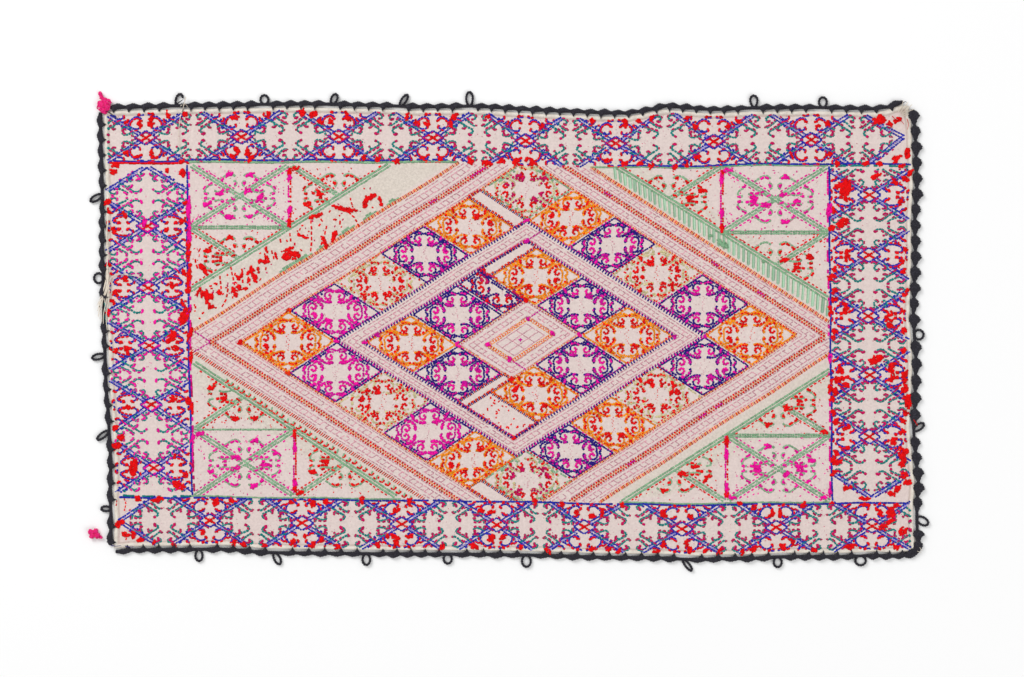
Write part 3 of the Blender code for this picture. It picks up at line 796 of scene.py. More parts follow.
for box in (RING, CORE):
    for start, end in sides(box):
        teeth(("navy",), start, end, tall=4.6, pitch=3.5, wide=2.1)
        teeth(("magenta",), start, end, tall=2.4, pitch=3.5, wide=1.5, drop=1.9)
for start, end in sides(HEART):
    sew_line("orange", slant(start, end, 8), 1.5, length=2.6, gap=0.4, aside=0.9)
    sew_line("brick", slant(start, end, 8), 1.4, length=2.0, gap=1.4, aside=-0.6)
for start, end in sides(HEART_INNER):
    for aside in (-1.4, 1.4):
        sew_line("orange", slant(start, end, 8), 1.5, length=2.8, gap=0.2, aside=aside)
    sew_line("vermilion", slant(start, end, 8), 1.5, length=1.8, gap=1.3)
# The heart's net: four lines each way, a quarter of the way in to its middle.
grid = between(HEART_INNER, Box(*np.repeat(HEART_MIDDLE, 2)), 0.25)
for share in (0.0, 1 / 3, 2 / 3, 1.0):
    p = grid.p_low + (grid.p_high - grid.p_low) * share
    q = grid.q_low + (grid.q_high - grid.q_low) * share
    sew_line("rose", slant((p, grid.q_low), (p, grid.q_high), 6), 1.3, length=3.4)
    sew_line("rose", slant((grid.p_low, q), (grid.p_high, q), 6), 1.3, length=3.4)
middle = on_field(*HEART_MIDDLE)
for step in (np.array([2.6, 0.0]), np.array([0.0, 2.2])):
    sew("magenta", middle - step, middle + step, 1.5, lift=0.3)
for start, end in CORNER_BARS:
    sew_line("magenta", slant(start, end, 4), 1.7, length=3.4, gap=0.3, lift=0.2, keep=in_field)
for p, q, thread in CORNER_PATCHES:
    x, y = on_field(p, q)
    patch(thread, x, y, seed.uniform(3.6, 5.6), seed.uniform(3, 4.6), seed.uniform(0, 3))
# Three short magenta lines along each of three sides, and rose specks over the two outer strips.
for start, end in sides(MIDDLE)[:3]:
    line = slant(start, end)
    for index in seed.choice(np.arange(6, 34), 3, replace=False):
        sew_line("magenta", line[index:index + 2], 2.2, length=2.6, lift=0.3, keep=in_field)
spots = on_field(seed.uniform(-30, 312, 260), seed.uniform(-31, 303, 260))
p, q = off_field(spots)
strip = (p < INNER.p_low) | (q < INNER.q_low) | (p > INNER.p_high) | (q > INNER.q_high)
specks("rose", spots[strip], 1.1, keep=in_field)
lay_in("lozenge")


# ---- Lozenge cells -----------------------------------------------------------
# Two rings of small lozenges, each with eight curls round a plain star. Their
# colours take turns: orange, purple, cream with red, and green at top and foot.
# Fill: the share of a cell's own stitches that is left.
Palette = namedtuple("Palette", "outline line shade core tail fill")
PALETTES = {"orange": Palette("orange", "orange", "vermilion", "red", "red", 1.0),
            "purple": Palette("navy", "navy", "navy", "hot_pink", "magenta", 1.0),
            "plum": Palette("navy", "magenta", "navy", "hot_pink", "hot_pink", 1.0),
            "cream": Palette("olive", "olive", "olive", "red", "red", 0.62),
            "green": Palette("sage", "olive", "sage", "red", "crimson", 0.75),
            "wine": Palette("navy", "navy", "magenta", "red", "crimson", 1.0)}
SPOTTED = ("cream", "green")

# Lines of one eighth of a cell, by shares of the way to its right corner and to its top one.
CellLine = namedtuple("CellLine", "role accent share wide points")
CELL_LINES = [
    CellLine("line", "core", 0.6, 3.1, [(0.71, 0.0), (0.765, 0.06), (0.79, 0.15), (0.72, 0.26)]),
    CellLine("line", "tail", 0.85, 3.4, [(0.50, 0.44), (0.41, 0.36), (0.335, 0.26), (0.30, 0.155),
                                         (0.345, 0.06)]),
    CellLine("line", "core", 0.7, 4.2, [(0.60, 0.46), (0.46, 0.37)]),
    CellLine("tail", None, 0.0, 3.2, [(0.30, 0.19), (0.315, 0.11)])]
EYE = Spot(0.56, 0.175)    # where the eighth's curl is coiled
EYE_CURL = [(3.8, -5.6), (4.8, -2.4), (3.4, 1.7), (0.0, 3.4), (-3.4, 1.9), (-4.4, -1.1), (-2.4, -3.7),
            (0.6, -3.0), (1.1, -0.7)]
BLOTS = [(0.5, 0.16), (0.2, 0.34), (0.36, 0.1), (0.1, 0.36), (0.4, 0.4), (0.2, 0.5)]
CELL_SPREAD = (0.87, 0.95)
CELL_SIDE = 46.0

Run = namedtuple("Run", "along low high start cells")
RUNS = [Run("p", 0, 47.5, 0, [("orange", 48.5), ("plum", 45.5), ("cream", 45), ("purple", 44),
                              ("orange", 45), ("plain", 11), ("green", 47)]),
        Run("q", 239, 286, 47.5, [("orange", 41.5), ("purple", 43), ("cream", 46), ("purple", 48),
                                  ("orange", 48)]),
        Run("p", 227, 274, 0, [("plain", 13), ("green", 46), ("purple", 43), ("orange", 43),
                               ("cream", 45), ("purple", 49)]),
        Run("q", 0, 49, 47.5, [("plum", 47.5), ("cream", 46), ("plum", 45), ("orange", 42)]),
        Run("p", 63, 110.5, 61.5, [("orange", 46), ("purple", 46), ("wine", 22.5)]),
        Run("q", 176, 223.5, 63, [("plain", 10), ("orange", 46), ("purple", 46), ("orange", 47)]),
        Run("p", 164, 212, 61.5, [("white", 24.5), ("orange", 44), ("purple", 46)]),
        Run("q", 61.5, 107.5, 110.5, [("purple", 45.5), ("plain", 8)])]


def inset(box, counts):
    """A box so many counts inside another."""
    return Box(box.p_low + counts, box.p_high - counts, box.q_low + counts, box.q_high - counts)


def sew_cell(kind, box):
    """One cell: its outline, eight curls mirrored from one, their tails, and specks in the plain star."""
    palette = PALETTES[kind]
    full_p = max(box.p_high - box.p_low, 0.9 * CELL_SIDE)
    full_q = max(box.q_high - box.q_low, 0.9 * CELL_SIDE)
    middle = (box.p_low + full_p / 2, box.q_low + full_q / 2)

    def inside(places):
        p, q = off_field(places)
        in_p = (p > box.p_low) & (p < box.p_high + 3)
        return in_p & (q > box.q_low - 3) & (q < box.q_high + 3) & in_field(places)

    def spots(line, quarter=(1.0, 1.0)):
        across, up = (np.asarray(line) * quarter * CELL_SPREAD).T
        return on_field(middle[0] + full_p * (across + up) / 2, middle[1] + full_q * (across - up) / 2)

    for (start, end), (low, high) in zip(sides(inset(box, 1.3)), sides(inset(box, 3.4))):
        rim = slant(start, end, 12)
        sew_line(palette.outline, rim, 2.5, share=palette.fill, keep=in_field)
        sew_line(palette.core, rim, 1.9, 2.6, 1.6, share=0.6, aside=1.2, lift=0.15, keep=in_field)
        low, run = np.array(low), np.array(high) - np.array(low)
        heavy = slant(low + 0.24 * run, low + 0.76 * run, 6)
        sew_line(palette.outline, heavy, 3.0, share=0.85 * palette.fill, keep=in_field)
    for order in (1, -1):                  # -1 changes the two shares over, for the other eighths
        for role, accent, share, wide, points in CELL_LINES:
            for quarter in QUARTERS:
                place = spots(bend(points)[:, ::order], quarter)
                sew_line(getattr(palette, role), place, wide, length=3.3, keep=inside, share=palette.fill)
                if accent:
                    sew_line(getattr(palette, accent), place, wide, length=3.4, gap=0.8, share=share,
                             aside=0.9 * quarter[0] * quarter[1] * order, lift=0.2, keep=inside)
        for quarter in QUARTERS:
            curl = spots([EYE[::order]], quarter) + bend(EYE_CURL, 4)[:, ::order] * quarter
            sew_line(palette.line, curl[:18], 2.9, length=3.2, keep=inside, share=palette.fill)
            sew_line(palette.shade, curl[8:22], 2.6, 2.8, 0.5, share=0.7 * palette.fill, keep=inside)
            sew_line(palette.core, curl[14:], 2.9, length=3.2, lift=0.2, keep=inside)
    stem = spots(np.column_stack([seed.normal(0, 0.03, 9), np.linspace(-0.26, 0.26, 9)]))
    specks(palette.core if kind in ("orange", "cream") else "rose", stem, 1.3, keep=inside)
    specks("rose", spots(seed.uniform(-0.3, 0.3, (8, 2))), 1.3, keep=inside)
    if kind in SPOTTED:
        dots = seed.uniform(-0.85, 0.85, (80, 2))
        dots = dots[(np.abs(dots).sum(axis=1) < 0.92) & (np.abs(dots).sum(axis=1) > 0.3)]
        specks("red", spots(dots[::3]), 2.6, keep=inside)
        specks(palette.shade, spots(dots[1::3]), 2.2, keep=inside)
    blots = spots(seed.choice([-1.0, 1.0], (6, 2)) * BLOTS)
    for x, y in blots[inside(blots)][:6 if kind in SPOTTED else 2]:
        patch(palette.tail, x, y, seed.uniform(3.5, 6.5), 2.6, seed.uniform(0, 3))


for run in RUNS:
    start = run.start
    for kind, size in run.cells:
        if run.along == "p":
            box = Box(start, start + size, run.low, run.high)
        else:
            box = Box(run.low, run.high, start, start + size)
        if kind in PALETTES:
            sew_cell(kind, box)
        elif size > 7:
            for first, last in sides(box):
                teeth(("navy", "brick"), first, last, tall=3.4, pitch=2.0, wide=1.8)
                sew_line("vermilion", slant(first, last, 8), gap=1.0, share=0.8, aside=1.6, lift=0.1,
                         keep=in_field)
        if kind == "white":
            places = on_field(*(seed.uniform(low + 2, high - 2, 26) for low, high in (box[:2], box[2:])))
            specks("red", places, 2.6)
        start += size
lay_in("cells")


# ---- Corner squares ----------------------------------------------------------
# Each corner of the field has a square with a green cross, pink dashes and
# horns, and two half squares in red, closed by a slanting green double line.
# The outermost point of each corner's square, and how far the square reaches from it along and across.
CORNERS = {"top_left": ((-352.4, 182.0), (110.0, -69.3)),
           "top_right": ((350.0, 180.2), (-117.0, -73.0)),
           "bottom_left": ((-347.6, -183.2), (111.0, 73.7)),
           "bottom_right": ((352.4, -188.8), (-114.4, 72.6))}
HALF_SQUARE = 50.0         # counts from a square's middle to its side
CROSS_HORNS = [[(20, 26), (15.5, 30.5), (11.7, 34.8), (7.5, 35.4), (3.8, 31)],
               [(6.5, 24), (3, 23), (2.6, 18.5), (5.4, 15)],
               [(26.5, 18.5), (32, 15), (35.4, 9.5), (34.4, 4), (30, 4.6)],
               [(9.5, 9.8), (15, 7), (21, 6), (25.5, 8.6)]]
CROSS_BARS = [[(17, 2.6), (22, 3), (28, 4.6)], [(3.5, 7), (8.5, 3.4)]]
CROSS_BLOTS = [(32, 13), (8, 8), (20, 3), (44, 44), (10, 34)]


def sew_square(corner, steps, accent, keep):
    """A square, steps from its corner's outermost one: a double cross, dashes, horns and specks."""
    near, reach = np.array(corner)
    middle = near + reach * (0.5 + np.array(steps))
    half_size = np.abs(reach) / 2

    def spots(line, quarter):
        return middle + np.asarray(line, dtype=float) * quarter / HALF_SQUARE * half_size

    for quarter in QUARTERS:
        for aside in (-1.3, 1.3):
            arm = spots([(aside, -aside), (48.5 + aside, 48.5 - aside)], quarter)
            sew_line("sage", arm, 2.6, length=4.4, keep=keep)
        sew_line("pale_sage", spots([(1, 1), (48, 48)], quarter), 1.2, length=4.4, share=0.6, keep=keep)
        for aside in (-3.3, 3.3):
            dashes = spots([(8 + aside, 8 - aside), (46 + aside, 46 - aside)], quarter)
            sew_line(accent, dashes, 2.1, length=3.5, gap=1.5, share=0.93, keep=keep)
        for horn in CROSS_HORNS:
            line = spots(bend(horn), quarter)
            sew_line("sage", line, 2.9, length=4.2, keep=keep, share=0.95)
            sew_line(accent, line, 3.2, length=5.2, gap=1.4, share=0.85,
                     aside=1.2 * quarter[0] * quarter[1], lift=0.2, keep=keep)
        for bar in CROSS_BARS:
            sew_line(accent, spots(bar, quarter), 3.2, length=4.6, lift=0.2, share=0.7, keep=keep)
        for place in spots(seed.permutation(CROSS_BLOTS)[:2], quarter):
            if keep(place[None])[0]:
                patch(accent, *place, seed.uniform(5, 10), seed.uniform(3, 4.8), seed.uniform(-0.6, 0.6))
    places = middle + seed.uniform(-0.95, 0.95, (130, 2)) * half_size
    specks(accent, places[::2], 1.9, keep=keep)
    specks("rose", places[1::2], 1.6, keep=keep)


def sew_corner(name, corner):
    """A corner: one whole square, two cut by the closing line, and the lines between and across them."""
    near, reach = np.array(corner)

    def closed(places):
        return (((places - near) / reach).sum(axis=1) < 1.98) & in_field(places)

    for steps, accent in (((0, 0), "hot_pink"), ((1, 0), "red"), ((0, 1), "red")):
        sew_square(corner, steps, accent, closed)
    for aside in (-1.5, 1.5):
        shift = [aside, aside * SLOPE * np.sign(reach).prod()]
        sew_line("sage", near + reach * [(2, 0), (0, 2)] + shift, 2.8, keep=in_field)
    for level in (0.0,) if name == "bottom_left" else (-1.2, 1.2):
        sew_line("sage", near + reach * [(0, 1), (1, 1)] + [0, level], 2.2, lift=0.1)
    upright = near + reach * [(1, 0.05), (1, 1)]
    sew_line("hot_pink", upright + [-1.1, 0], 2.1, share=0.85, lift=0.1)
    sew_line("red", upright + [1.1, 0], 2.2, share=0.75, lift=0.1)
    for share, thread in ((0.2, "hot_pink"), (0.72, "hot_pink"), (0.93, "red"), (0.12, "red")):
        patch(thread, *(near + reach * [1, share]), seed.uniform(6, 11), 3.6, np.pi / 2)


for name, corner in CORNERS.items():
    sew_corner(name, corner)


# Between the closing lines and the great lozenge: a green comb at the top right,
# red sprays at the top left and slanting commas at the bottom left.
def comb(corner):
    """Broad green teeth hanging from a corner's closing line to the great lozenge."""
    near, reach = np.array(corner)
    tops = near + reach * [2.01, 0] + (reach * [-2.01, 2.01]) * np.linspace(0.0, 1.0, 44)[:, None]
    across = tops[:, 0] + 1.6
    q = (across - LOZENGE_START.x) / COUNT - OUTER.p_high
    feet = on_field(np.full_like(across, OUTER.p_high), q) + [0.0, 3.0]
    sew("pale_sage", tops, feet, 4.6, high=0.4, keep=in_field)
    sew("sage", tops + [-0.8, 0.6], feet + [-0.6, 0.4], 2.0, high=0.5, keep=in_field)


comb(CORNERS["top_right"])
for row in [(233.5, 95, 13, 6, -0.6), (221, 103.4, 4, 2, 0), (279, 75, 4, 2, 0.5)]:
    patch("sage", *row)

# Sprays of loose red satin stitches, each from one place to another and its width; dotted chains between.
SPRAYS = [(-249, 80, -232, 83, 9), (-246, 87, -240, 90, 4), (-278, 75, -266, 76, 5),
          (-206, 102, -202, 90, 3.4), (-196.5, 98, -191.4, 108, 4.4), (-220, 123, -208, 127.4, 4.2),
          (-195, 136.4, -182, 132.4, 3.8), (-182, 132.4, -169, 132, 4.6), (-160, 135, -157, 146, 5),
          (-157, 143, -148, 149, 4.6), (-283, 66, -279, 52, 4.4), (-288, 62, -283, 66, 3),
          (-304, 46, -301, 36, 4.6), (-337, 42, -327, 35, 6), (-332, 41, -334, 33, 4),
          (-341, 72, -334, 62, 5), (-232, 104, -224, 101, 3), (-144, 147, -141, 136, 2.4)]
CHAINS = [[(-219, 121), (-218, 100), (-219.5, 85)], [(-202, 115), (-204, 104), (-208, 92)],
          [(-242, 107), (-241, 96)], [(-253, 101), (-251.5, 94)], [(-307, 70), (-303, 50), (-301, 36)],
          [(-295, 68), (-293.5, 50)], [(-319, 60), (-317, 38)], [(-212, 127), (-205, 118)],
          [(-186, 128), (-187, 114)], [(-262, 88), (-259, 76)], [(-270, 85), (-268, 77)],
          [(-310, 46), (-312, 34), (-318, 24)], [(-178, 130), (-170, 122), (-166, 112)],
          [(-340, 90), (-346, 78), (-343, 66)], [(-176, 146), (-173, 136)]]


def above_outer(places):
    """True for places of the top left strip, between the closing line and the great lozenge."""
    below = places[:, 1] < 37.5 + (places[:, 0] + 352) * 0.63
    return below & (off_field(places)[1] < OUTER.q_low - 5) & in_field(places)


for x, y, end_x, end_y, wide in SPRAYS:
    run_x, run_y = end_x - x, end_y - y
    long = np.hypot(run_x, run_y) + 1.5
    patch("red", x + run_x / 2, y + run_y / 2, long, wide, np.arctan2(run_y, run_x))
for chain in CHAINS:
    sew_line("red", bend(chain), 2.4, length=4.8, gap=1.1, share=0.92)
spots = np.array([-348.0, 12.0]) + seed.uniform(0.0, 1.0, (400, 2)) ** 1.2 * [200, 150]
specks("red", spots[:280], 2.8, keep=above_outer)
specks("crimson", spots[280:], 2.2, keep=above_outer)
for place in np.array([-345.0, 22.0]) + seed.uniform(0.0, 1.0, (46, 2)) * [110, 70]:
    if above_outer(place[None])[0]:
        patch("red", *place, seed.uniform(4, 7.5), 2.4, seed.choice([0.2, 1.2, 1.6, 1.9]))
# What is left of a green double line along the great lozenge, in counts along its upper left side.
for low, high in ((73.5, 106.5), (110, 121), (132, 148.5), (156.5, 170.5), (179.5, 192.5)):
    for level, inset_by in ((-2.2, 0.0), (-3.7, 4.0)):
        run = np.linspace(low + inset_by, high - inset_by, 8)
        sew_line("sage", on_field(run, np.full(8, OUTER.q_low + level)), 2.7, length=4.4, keep=in_field)
# Down its lower left side: slanting teeth, and a row of hooks that are each a green stem and a red comma.
start, end = sides(OUTER)[3]
teeth(("vermilion", "brick"), start, end, tall=5.2, pitch=2.5, wide=1.25, drop=-0.4, lean=(0.75, 0.66))
HOOK = np.array([(-2.9, 0.6), (-1.6, -1.2), (0.6, -1.6), (2.4, -0.4), (2.9, 1.6)])
for place in cut(slant((OUTER.p_low - 7.2, 24.0), (OUTER.p_low - 7.2, 268.0)), 7.2, 0.0)[0]:
    place = place + seed.normal(0, 0.4, 2)
    sew("sage", place + [-0.4, -2.4], place + [1.8, 3.6], 2.4, keep=in_field)
    sew_line("red", bend(HOOK + place, 2), 2.3, length=3.0, share=0.9, lift=0.2, keep=in_field)
lay_in("corners")


# ---- Knotted edging ----------------------------------------------------------
# Black wool yarn is hooked through the hem in a run of knotted scallops. Each
# one has a tooth that bites into the hem, and near the loops the yarn lies plain.
Knot = namedtuple("Knot", "phase outer inner height")
SCALLOP = [Knot(0.00, 1.8, 1.9, 2.6), Knot(0.20, 3.0, 4.0, 4.0), Knot(0.46, 4.1, 2.4, 4.4)]
ACORN = [Knot(0.00, 1.7, 1.7, 2.4), Knot(0.20, 5.6, 4.6, 4.4), Knot(0.44, 7.0, 5.2, 4.8),
         Knot(0.74, 3.4, 2.6, 3.5)]
# Tooth: how far it reaches past the knot. Grip: how wide it presses the wool down.
Side = namedtuple("Side", "knots pitch start end tooth grip")
SIDES = {"top": Side(SCALLOP, 15.2, -439.2, 432.0, 3.4, 0.1),
         "right": Side(ACORN, 17.0, -232.5, 242.5, 0.4, 0.4),
         "bottom": Side(SCALLOP, 17.0, -433.6, 434.6, 3.4, 0.1),
         "left": Side(SCALLOP, 17.4, -236.5, 239.3, 3.4, 0.1)}
Worn = namedtuple("Worn", "side start end")
WORN = [Worn("top", -359.0, -354.0), Worn("left", 12.0, 32.0), Worn("right", -219.5, -212.0)]
LOOP_NECK = 12.5           # length of plain edging where a loop springs
TURN_RADIUS = 15.0         # the edging's turn round the bottom-right corner, two scallops long
TURN_SCALLOPS = 2
TURN_YARN = 5.0            # half width of the yarn there, where it lies thick and plain
SCALLOP_STEPS = 14
PLY = 2.1                  # distance between the yarn's ridges along the edging
WOOL_TWIST = 0.3           # sets plies 2.1 mm apart on the yarn's map
FIBRE_CLUMPS = 900.0       # in a metre, each about 1.1 mm, coarse so that they show
EDGING_HEIGHT = 5.2

# Each loop's place along its side, its length, width, lean in degrees and the pinch of its root, and
# where it has worn, the share of it that is left.
Loop = namedtuple("Loop", "name side along length width lean pinch left", defaults=[1.0])
LOOP_ROWS = {
    "top": [(-366.0, 14.2, 9.6, 18, 0.2, 0.7), (-270.0, 10.8, 10.8, 0, 0.0), (-196.0, 12.8, 9.0, 25, 0.2),
            (-121.0, 15.6, 7.8, 34, 0.2), (-44.5, 16.3, 9.8, 0, 0.2), (268.5, 14.2, 11.2, -3, 0.5),
            (344.0, 12.0, 10.9, 0, 0.1)],
    "right": [(-5.2, 10.8, 12.6, 0, 0.0), (-111.0, 14.4, 8.4, 36, 0.2), (-206.5, 14.6, 10.6, -30, 0.1)],
    "bottom": [(-342.0, 13.5, 10.6, 0, 0.3), (-259.5, 14.8, 9.0, 28, 0.2), (-158.0, 12.9, 10.6, 0, 0.1),
               (-68.5, 11.0, 11.0, 0, 0.0), (18.0, 13.6, 12.0, 0, 0.1), (190.0, 16.5, 7.0, 38, 0.2),
               (294.3, 12.0, 11.0, 0, 0.1), (385.4, 11.0, 13.6, 0, 0.0)],
    "left": [(149.0, 15.4, 8.4, -30, 0.2), (57.0, 10.8, 13.0, 0, 0.0), (-27.5, 15.0, 8.4, -14, 0.2),
             (-110.5, 17.0, 7.8, -38, 0.2), (-196.5, 11.0, 7.4, 0, 0.0)]}
LOOPS = [Loop("loop_%s_%d" % (side, number), side, *row)
         for side, rows in LOOP_ROWS.items() for number, row in enumerate(rows, 1)]


def wool(name, code, light, sheen):
    """Spun wool yarn, dyed and knotted: dull, in slanting plies, with painted highlight on random clumps
    of soft fibres.
    """
    finish = {"Roughness": 0.88, "Specular IOR Level": 0.2, "Sheen Weight": sheen}
    material, tree, shader = new_material(name, finish)
    strand = node(tree, "ShaderNodeUVMap", uv_map="strand").outputs["UV"]
    place = node(tree, "ShaderNodeTexCoord").outputs["Object"]
    ply = node(tree, "ShaderNodeTexWave", {"Vector": strand, "Scale": WOOL_TWIST, "Distortion": 1.2},
               bands_direction="DIAGONAL").outputs["Fac"]
    fibre = node(tree, "ShaderNodeTexNoise",
                 {"Vector": place, "Scale": FIBRE_CLUMPS, "Detail": 3.0}).outputs["Fac"]
    # Painted highlight: random fibre clumps are mixed towards the lighter colour, for the light that
    # loose fibres catch.
    fibre_highlight = node(tree, "ShaderNodeMapRange", {"Value": fibre, "From Min": 0.45, "From Max": 0.8})
    colour = node(tree, "ShaderNodeMix", {"Factor": fibre_highlight.outputs["Result"], "A": linear(code),
                                          "B": linear(light)}, data_type="RGBA")
    tree.links.new(colour.outputs["Result"], shader.inputs["Base Color"])
    relief = node(tree, "ShaderNodeMath", {0: ply, 1: fibre}, operation="ADD").outputs[0]
    bump = node(tree, "ShaderNodeBump", {"Height": relief, "Strength": 0.6, "Distance": 0.4 * MM})
    tree.links.new(bump.outputs["Normal"], shader.inputs["Normal"])
    return material


BLACK_WOOL = wool("black_wool_knotted", "#211F26", "#45434E", 0.12)


def place_beside(side, along, out):
    """Places of a side, from their distance along it and outwards of its straight line."""
    sign, half = SIDE_LINE[side]
    return beside(side, along, sign * (half + out))


def necks(side):
    """The places where a side's scallops meet, and whether each stretch between two is a scallop."""
    layout = SIDES[side]
    roots = [loop.along for loop in LOOPS if loop.side == side]
    plain = [(root - LOOP_NECK / 2, root + LOOP_NECK / 2) for root in roots]
    plain += [(worn.start, worn.end) for worn in WORN if worn.side == side]
    cuts = [layout.start]
    worked = []
    for low, high in sorted(plain) + [(layout.end, layout.end)]:
        run = low - cuts[-1]
        if run > 0:
            count = max(1, round(run / layout.pitch))
            cuts.extend(np.linspace(cuts[-1], low, count + 1)[1:])
            worked.extend([True] * count)
        if high > low:
            cuts.append(high)
            worked.append(False)
    return np.array(cuts), worked


def middle_line(side):
    """A side's necks as points on its middle line, clockwise from above, then any turn at its end."""
    along, worked = necks(side)
    points = place_beside(side, along, stray(side, along))
    if side in ("right", "bottom"):
        points, worked = points[::-1], worked[::-1]
    if side == "right":
        centre = points[-1] - [TURN_RADIUS, 0.0]
        angles = -np.pi / 2 * np.arange(1, TURN_SCALLOPS + 1) / TURN_SCALLOPS
        turn = centre + TURN_RADIUS * np.column_stack([np.cos(angles), np.sin(angles)])
        points = np.vstack([points, turn])
        worked = worked + [True] * TURN_SCALLOPS
    return points, np.array(worked)


def eased(phase, rows, field):
    """A knot's size at a phase of its scallop: between two rows it follows half a cosine wave."""
    places = np.array([row.phase for row in rows] + [1.0])
    sizes = np.array([getattr(row, field) for row in rows] + [getattr(rows[0], field)])
    index = np.clip(np.searchsorted(places, phase, side="right") - 1, 0, len(rows) - 1)
    share = (phase - places[index]) / (places[index + 1] - places[index])
    return sizes[index] + (sizes[index + 1] - sizes[index]) * (1 - np.cos(np.pi * share)) / 2


def round_turn(line, sizes, left, start):
    """Line and sizes where the edging turns its corner: a quarter circle of plain yarn, thin at its end.

    Left holds the scallops still to come at each ring, and sizes the outer and inner half widths and
    the height."""
    share = np.clip(1.0 - left / TURN_SCALLOPS, 0.0, 1.0)[:, None]
    arc = TURN_RADIUS * np.hstack([np.cos(share * np.pi / 2) - 1.0, -np.sin(share * np.pi / 2)])
    plain = np.clip(TURN_SCALLOPS + 0.3 - left, 0.0, 1.0)
    thick = TURN_YARN * np.clip(0.6 + left, 0.0, 1.0)
    sizes = [size + (part * thick - size) * plain for size, part in zip(sizes, (1.0, 0.9, 0.85))]
    return np.where(share > 0, start + arc, line), sizes


def evened(values, reach):
    """Values averaged with as many neighbours on each side as reach says."""
    count = 2 * reach + 1
    return np.convolve(np.pad(values, reach, "edge"), np.ones(count) / count, "valid")


def tube_faces(rings, corners):
    """Faces of a tube's skin in fours and of its two ends in threes, looking outwards.

    Its points are ring after ring, and then the middle point of each end."""
    index = np.arange(rings * corners).reshape(rings, corners)
    ahead = np.roll(index, -1, axis=1)
    skin = np.stack([index[:-1], ahead[:-1], ahead[1:], index[1:]], axis=-1).reshape(-1, 4)
    middle = np.full(corners, index.size)
    return skin, np.vstack([np.column_stack([ahead[0], index[0], middle]),
                            np.column_stack([index[-1], ahead[-1], middle + 1])])


def edging(side):
    """A side's edging: a flat-bottomed section carried along the middle line.

    Its two half widths and height follow the scallop's knots, each scallop a little bigger or
    smaller, and slanting ridges of yarn run over it. At each scallop's tooth the inner half bites
    into the hem."""
    points, worked = middle_line(side)
    knots, tooth = SIDES[side].knots, SIDES[side].knots[1].phase
    place = np.arange(len(worked) * SCALLOP_STEPS + 1) / SCALLOP_STEPS
    scallop = np.minimum(place.astype(int), len(worked) - 1)
    phase = (place - scallop) * worked[scallop]
    line = walk(points, np.arange(len(points)), place)
    vary = seed.uniform(0.86, 1.14, len(worked))[scallop]
    swell = 1 + (vary - 1) * np.sin(np.pi * (place - scallop))
    outer, inner, height = (eased(phase, knots, field) * swell for field in ("outer", "inner", "height"))
    inner = inner + SIDES[side].tooth * worked[scallop] * np.exp(-((phase - tooth) / 0.065) ** 2)
    if side == "right":
        line, (outer, inner, height) = round_turn(line, (outer, inner, height), len(worked) - place,
                                                  points[-1 - TURN_SCALLOPS])
    far = distance(line)
    smooth = np.column_stack([evened(line[:, axis], 9) for axis in (0, 1)])
    way = left_of(np.gradient(smooth + np.outer(place, [1e-6, 0]), axis=0))
    around = np.linspace(0.0, np.pi, 13)
    share = np.concatenate([np.cos(around), [-0.5, 0.5]])
    crown = np.concatenate([np.sin(around) ** 0.75, [0.0, 0.0]])
    ridge = 1 + 0.09 * np.sin(np.pi * (2 * far[:, None] / PLY + 1.6 * share[None, :]))
    ridge[:, -2:] = 1.0
    width = np.where(share > 0, outer[:, None], inner[:, None]) * share * ridge
    flat = line[:, None, :] + way[:, None, :] * width[..., None]
    press = np.exp(-((phase - tooth) / SIDES[side].grip) ** 2) * worked[scallop]
    bite = press[:, None] * (share < 0)
    top = height[:, None] * crown ** (1 - 0.75 * bite) * ridge + 0.9 * bite * (crown > 0)
    rings = np.concatenate([flat, 0.05 + np.minimum(top, EDGING_HEIGHT)[..., None]], axis=2)
    skin, caps = tube_faces(*rings.shape[:2])
    points = np.vstack([rings.reshape(-1, 3), rings[0].mean(axis=0), rings[-1].mean(axis=0)])
    piece = mesh_piece("edging_wool_" + side, points, skin.tolist() + caps.tolist(), BLACK_WOOL)
    strand = np.stack(np.broadcast_arrays(share * 3, far[:, None]), axis=-1)
    paint_strand(piece, np.vstack([strand.reshape(-1, 2), np.zeros((2, 2))]))
    return piece


for side_name in SIDES:
    piece = edging(side_name)
    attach(piece, ROOT)
    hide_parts("edging_" + side_name)


# ---- Button loops ------------------------------------------------------------
# Each loop is a length of the same black yarn, two plies twisted together, with
# both ends drawn into the edging. They lie as they fell, some upright, some over.
YARN = 3.0
TWIST = 5.2                # length of yarn in which its plies turn once round each other
LOOP_RINGS = 44
ROOT_GAP = 0.32            # radians of a loop's round that are left open at its root


def tubes(paths, radius, corners):
    """Round tubes along many paths at once, closed at both ends by a point.

    Each section stands square to its path, from a level direction and one square to it."""
    count, rings = paths.shape[:2]
    runs = unit(np.gradient(paths, axis=1))
    level = unit(np.cross(runs, [0.0, 0.0, 1.0]))
    over = np.cross(level, runs)
    angle = 2 * np.pi * np.arange(corners) / corners
    around = (level[:, :, None] * np.cos(angle)[:, None] + over[:, :, None] * np.sin(angle)[:, None])
    radius = np.broadcast_to(np.asarray(radius, dtype=float), (count, rings))[..., None, None]
    skin = (paths[:, :, None] + radius * around).reshape(count, -1, 3)
    points = np.concatenate([skin, paths[:, :1] - runs[:, :1] * radius[:, :1, 0],
                             paths[:, -1:] + runs[:, -1:] * radius[:, -1:, 0]], axis=1)
    fours, caps = tube_faces(rings, corners)
    one = np.vstack([fours[:, :3], fours[:, [0, 2, 3]], caps])
    faces = (np.arange(count)[:, None, None] * points.shape[1] + one[None]).reshape(-1, 3)
    far = np.linspace(0, 1, rings)[:, None] * distance(paths[0])[-1]
    strand = np.stack(np.broadcast_arrays(angle, far), axis=-1).reshape(-1, 2)
    return points.reshape(-1, 3), faces, np.tile(np.vstack([strand, np.zeros((2, 2))]), (count, 1))


